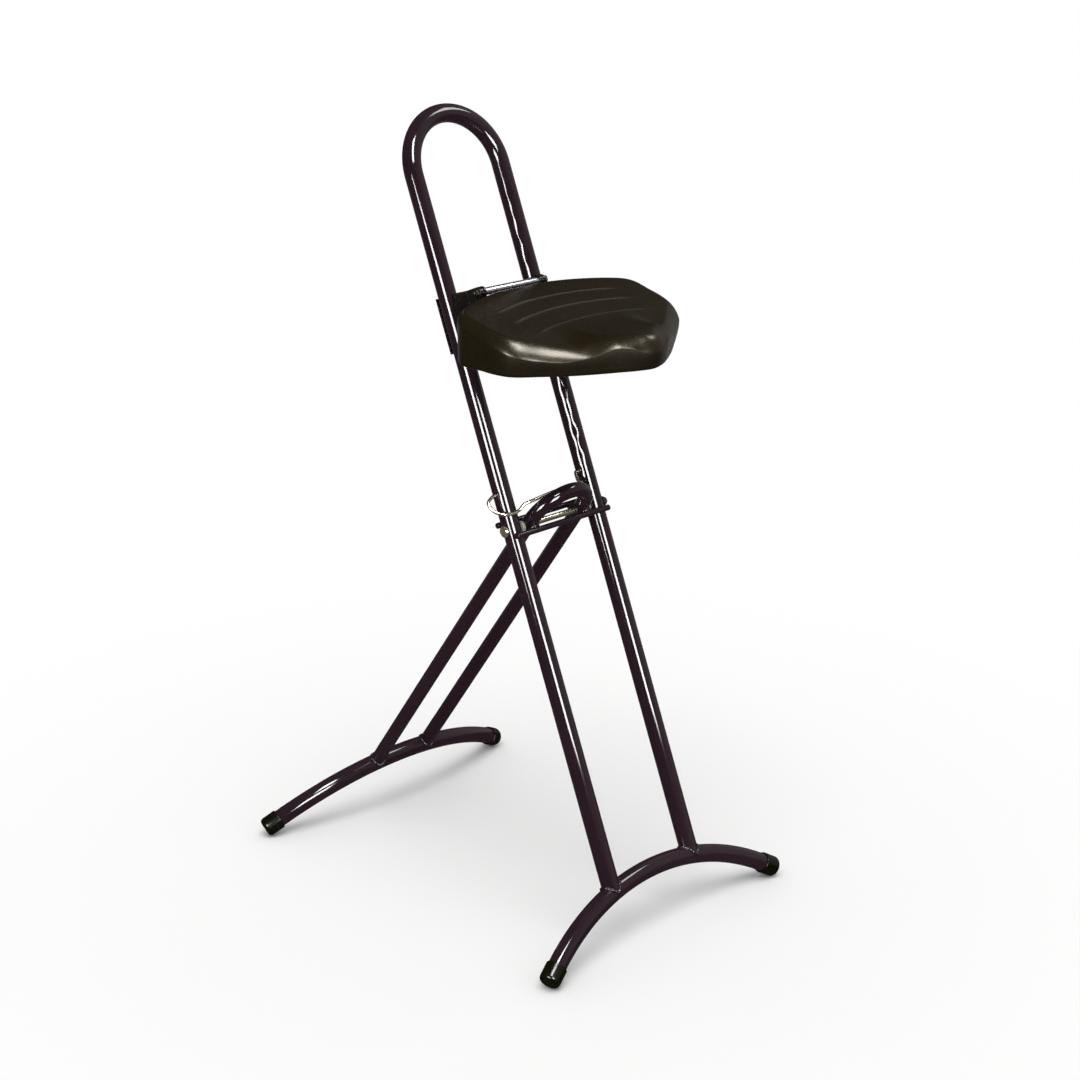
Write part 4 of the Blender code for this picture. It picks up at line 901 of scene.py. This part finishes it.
# The cards only show in gloss, and the soft sun only lights.
lamps = {
    "rightCard": {"at": (-0.6, -2.00, 1.13), "aim": (-0.05, -0.07, 0.75), "size": (0.8, 0.86),
                  "glow": 42},
    "leftCard": {"at": (-2.02, -0.8, 1.14), "aim": (-0.05, -0.07, 0.8), "size": (0.8, 0.86),
                 "glow": 42},
    "farCard": {"at": (1.25, -0.66, 2.3), "aim": (0, 0, 0.6), "size": (0.6, 0.6), "glow": 14},
    "highCard": {"at": (-0.42, -1.08, 2.56), "aim": (0, 0, 0.6), "size": (0.6, 0.85), "glow": 50},
}
sun = {"at": (-0.6, -0.7, 3.0), "strength": 1.35, "angle": 45}
ambient = 0.6
surround = {"towards": (0.85, -0.5, 0.15), "dark": 0.2, "light": 0.95, "low": 0.02, "high": 0.38}


def aimed(location, target):
    return (Vector(target) - Vector(location)).to_track_quat("-Z", "Y").to_euler()


def hang(light, at, aim, glossy):
    holder = bpy.data.objects.new(light.name, light)
    holder.location, holder.rotation_euler = at, aimed(at, aim)
    holder.visible_diffuse, holder.visible_glossy = not glossy, glossy
    scene.collection.objects.link(holder)


def makeLamps():
    for name, lamp in lamps.items():
        light = bpy.data.lights.new(name, "AREA")
        light.shape, (light.size, light.size_y) = "RECTANGLE", lamp["size"]
        light.energy = lamp["glow"] * math.pi * light.size * light.size_y
        hang(light, lamp["at"], lamp["aim"], True)
    light = bpy.data.lights.new("softSun", "SUN")
    light.energy, light.angle = sun["strength"], math.radians(sun["angle"])
    hang(light, sun["at"], (0, 0, 0), False)


# Grade: a value that changes along a direction, from one distance to another.
def graded(tree, place, direction, *values):
    across = addNode(tree, "ShaderNodeVectorMath", operation="DOT_PRODUCT")
    across.inputs[1].default_value = direction
    tree.links.new(place, across.inputs[0])
    return remap(tree, across.outputs["Value"], *values)


def mixed(tree, share, first, second):
    node = addNode(tree, "ShaderNodeMixShader")
    for socket, value in zip(node.inputs, (share, first.outputs[0], second.outputs[0])):
        feed(tree, value, socket)
    return node


# Studio: even light. The backdrop is white to the camera, and in gloss it darkens to the left.
def makeSky():
    sky = bpy.data.worlds.new("studio")
    scene.world = sky
    sky.use_nodes = True
    tree = sky.node_tree
    even = setInputs(tree.nodes["Background"], Color=(1, 1, 1, 1), Strength=ambient)
    mirrored = setInputs(addNode(tree, "ShaderNodeBackground"), Color=(1, 1, 1, 1))
    white = setInputs(addNode(tree, "ShaderNodeBackground"), Color=(1, 1, 1, 1), Strength=1.0)
    place = addNode(tree, "ShaderNodeTexCoord").outputs["Generated"]
    strength = graded(tree, place, surround["towards"], surround["dark"], surround["light"],
                      surround["low"], surround["high"])
    tree.links.new(strength, mirrored.inputs["Strength"])
    path = addNode(tree, "ShaderNodeLightPath")
    unseen = mixed(tree, path.outputs["Is Glossy Ray"], even, mirrored)
    seen = calculate(tree, "MAXIMUM", path.outputs["Is Camera Ray"],
                     path.outputs["Is Transmission Ray"])
    shown = mixed(tree, seen, unseen, white)
    tree.links.new(shown.outputs[0], tree.nodes["World Output"].inputs["Surface"])


# Floor: it takes the shadow near the feet and clears to white further out. Gloss grades it too.
def makeFloor():
    half, height = floorLook["size"] / 2, floorLook["height"]
    corners = [(half * x, half * y, height) for x, y in ((-1, -1), (1, -1), (1, 1), (-1, 1))]
    mesh = bpy.data.meshes.new("floor")
    mesh.from_pydata(corners, [], [(0, 1, 2, 3)])
    floor = bpy.data.objects.new("floor", mesh)
    scene.collection.objects.link(floor)
    material = bpy.data.materials.new("paleFloor")
    material.use_nodes = True
    tree = material.node_tree
    tree.nodes.remove(tree.nodes["Principled BSDF"])
    matt = setInputs(addNode(tree, "ShaderNodeBsdfDiffuse"), Color=(*floorLook["colour"], 1))
    white = setInputs(addNode(tree, "ShaderNodeEmission"), Color=(1, 1, 1, 1), Strength=1.0)
    place = addNode(tree, "ShaderNodeTexCoord").outputs["Object"]
    length = addNode(tree, "ShaderNodeVectorMath", operation="LENGTH")
    tree.links.new(place, length.inputs[0])
    clear = remap(tree, length.outputs["Value"], floorLook["clearFrom"], floorLook["clearAt"])
    path = addNode(tree, "ShaderNodeLightPath")
    cleared = calculate(tree, "MULTIPLY", clear, path.outputs["Is Camera Ray"])
    loss = graded(tree, place, floorLook["mirrorTowards"], floorLook["mirrorFrom"],
                  floorLook["mirrorAt"], floorLook["low"] - 1, floorLook["high"] - 1)
    dimmed = calculate(tree, "MULTIPLY", loss, path.outputs["Is Glossy Ray"])
    tree.links.new(calculate(tree, "ADD", dimmed, 1.0), white.inputs["Strength"])
    share = calculate(tree, "MAXIMUM", cleared, path.outputs["Is Glossy Ray"])
    shown = mixed(tree, share, matt, white)
    tree.links.new(shown.outputs[0], tree.nodes["Material Output"].inputs["Surface"])
    mesh.materials.append(material)


def makeCamera():
    yaw, down = math.radians(view["yaw"]), math.radians(view["down"])
    look = Vector((math.sin(yaw) * math.cos(down), math.cos(yaw) * math.cos(down), -math.sin(down)))
    lens = bpy.data.cameras.new("camera")
    lens.lens, lens.sensor_width, lens.clip_end = view["lens"], view["sensor"], view["clipEnd"]
    camera = bpy.data.objects.new("camera", lens)
    camera.location = Vector(view["target"]) - look * view["distance"]
    camera.rotation_euler = look.to_track_quat("-Z", "Y").to_euler()
    scene.collection.objects.link(camera)
    scene.camera = camera


makeLamps()
makeSky()
makeFloor()
makeCamera()
scene.view_settings.view_transform = "Standard"
print("room made")
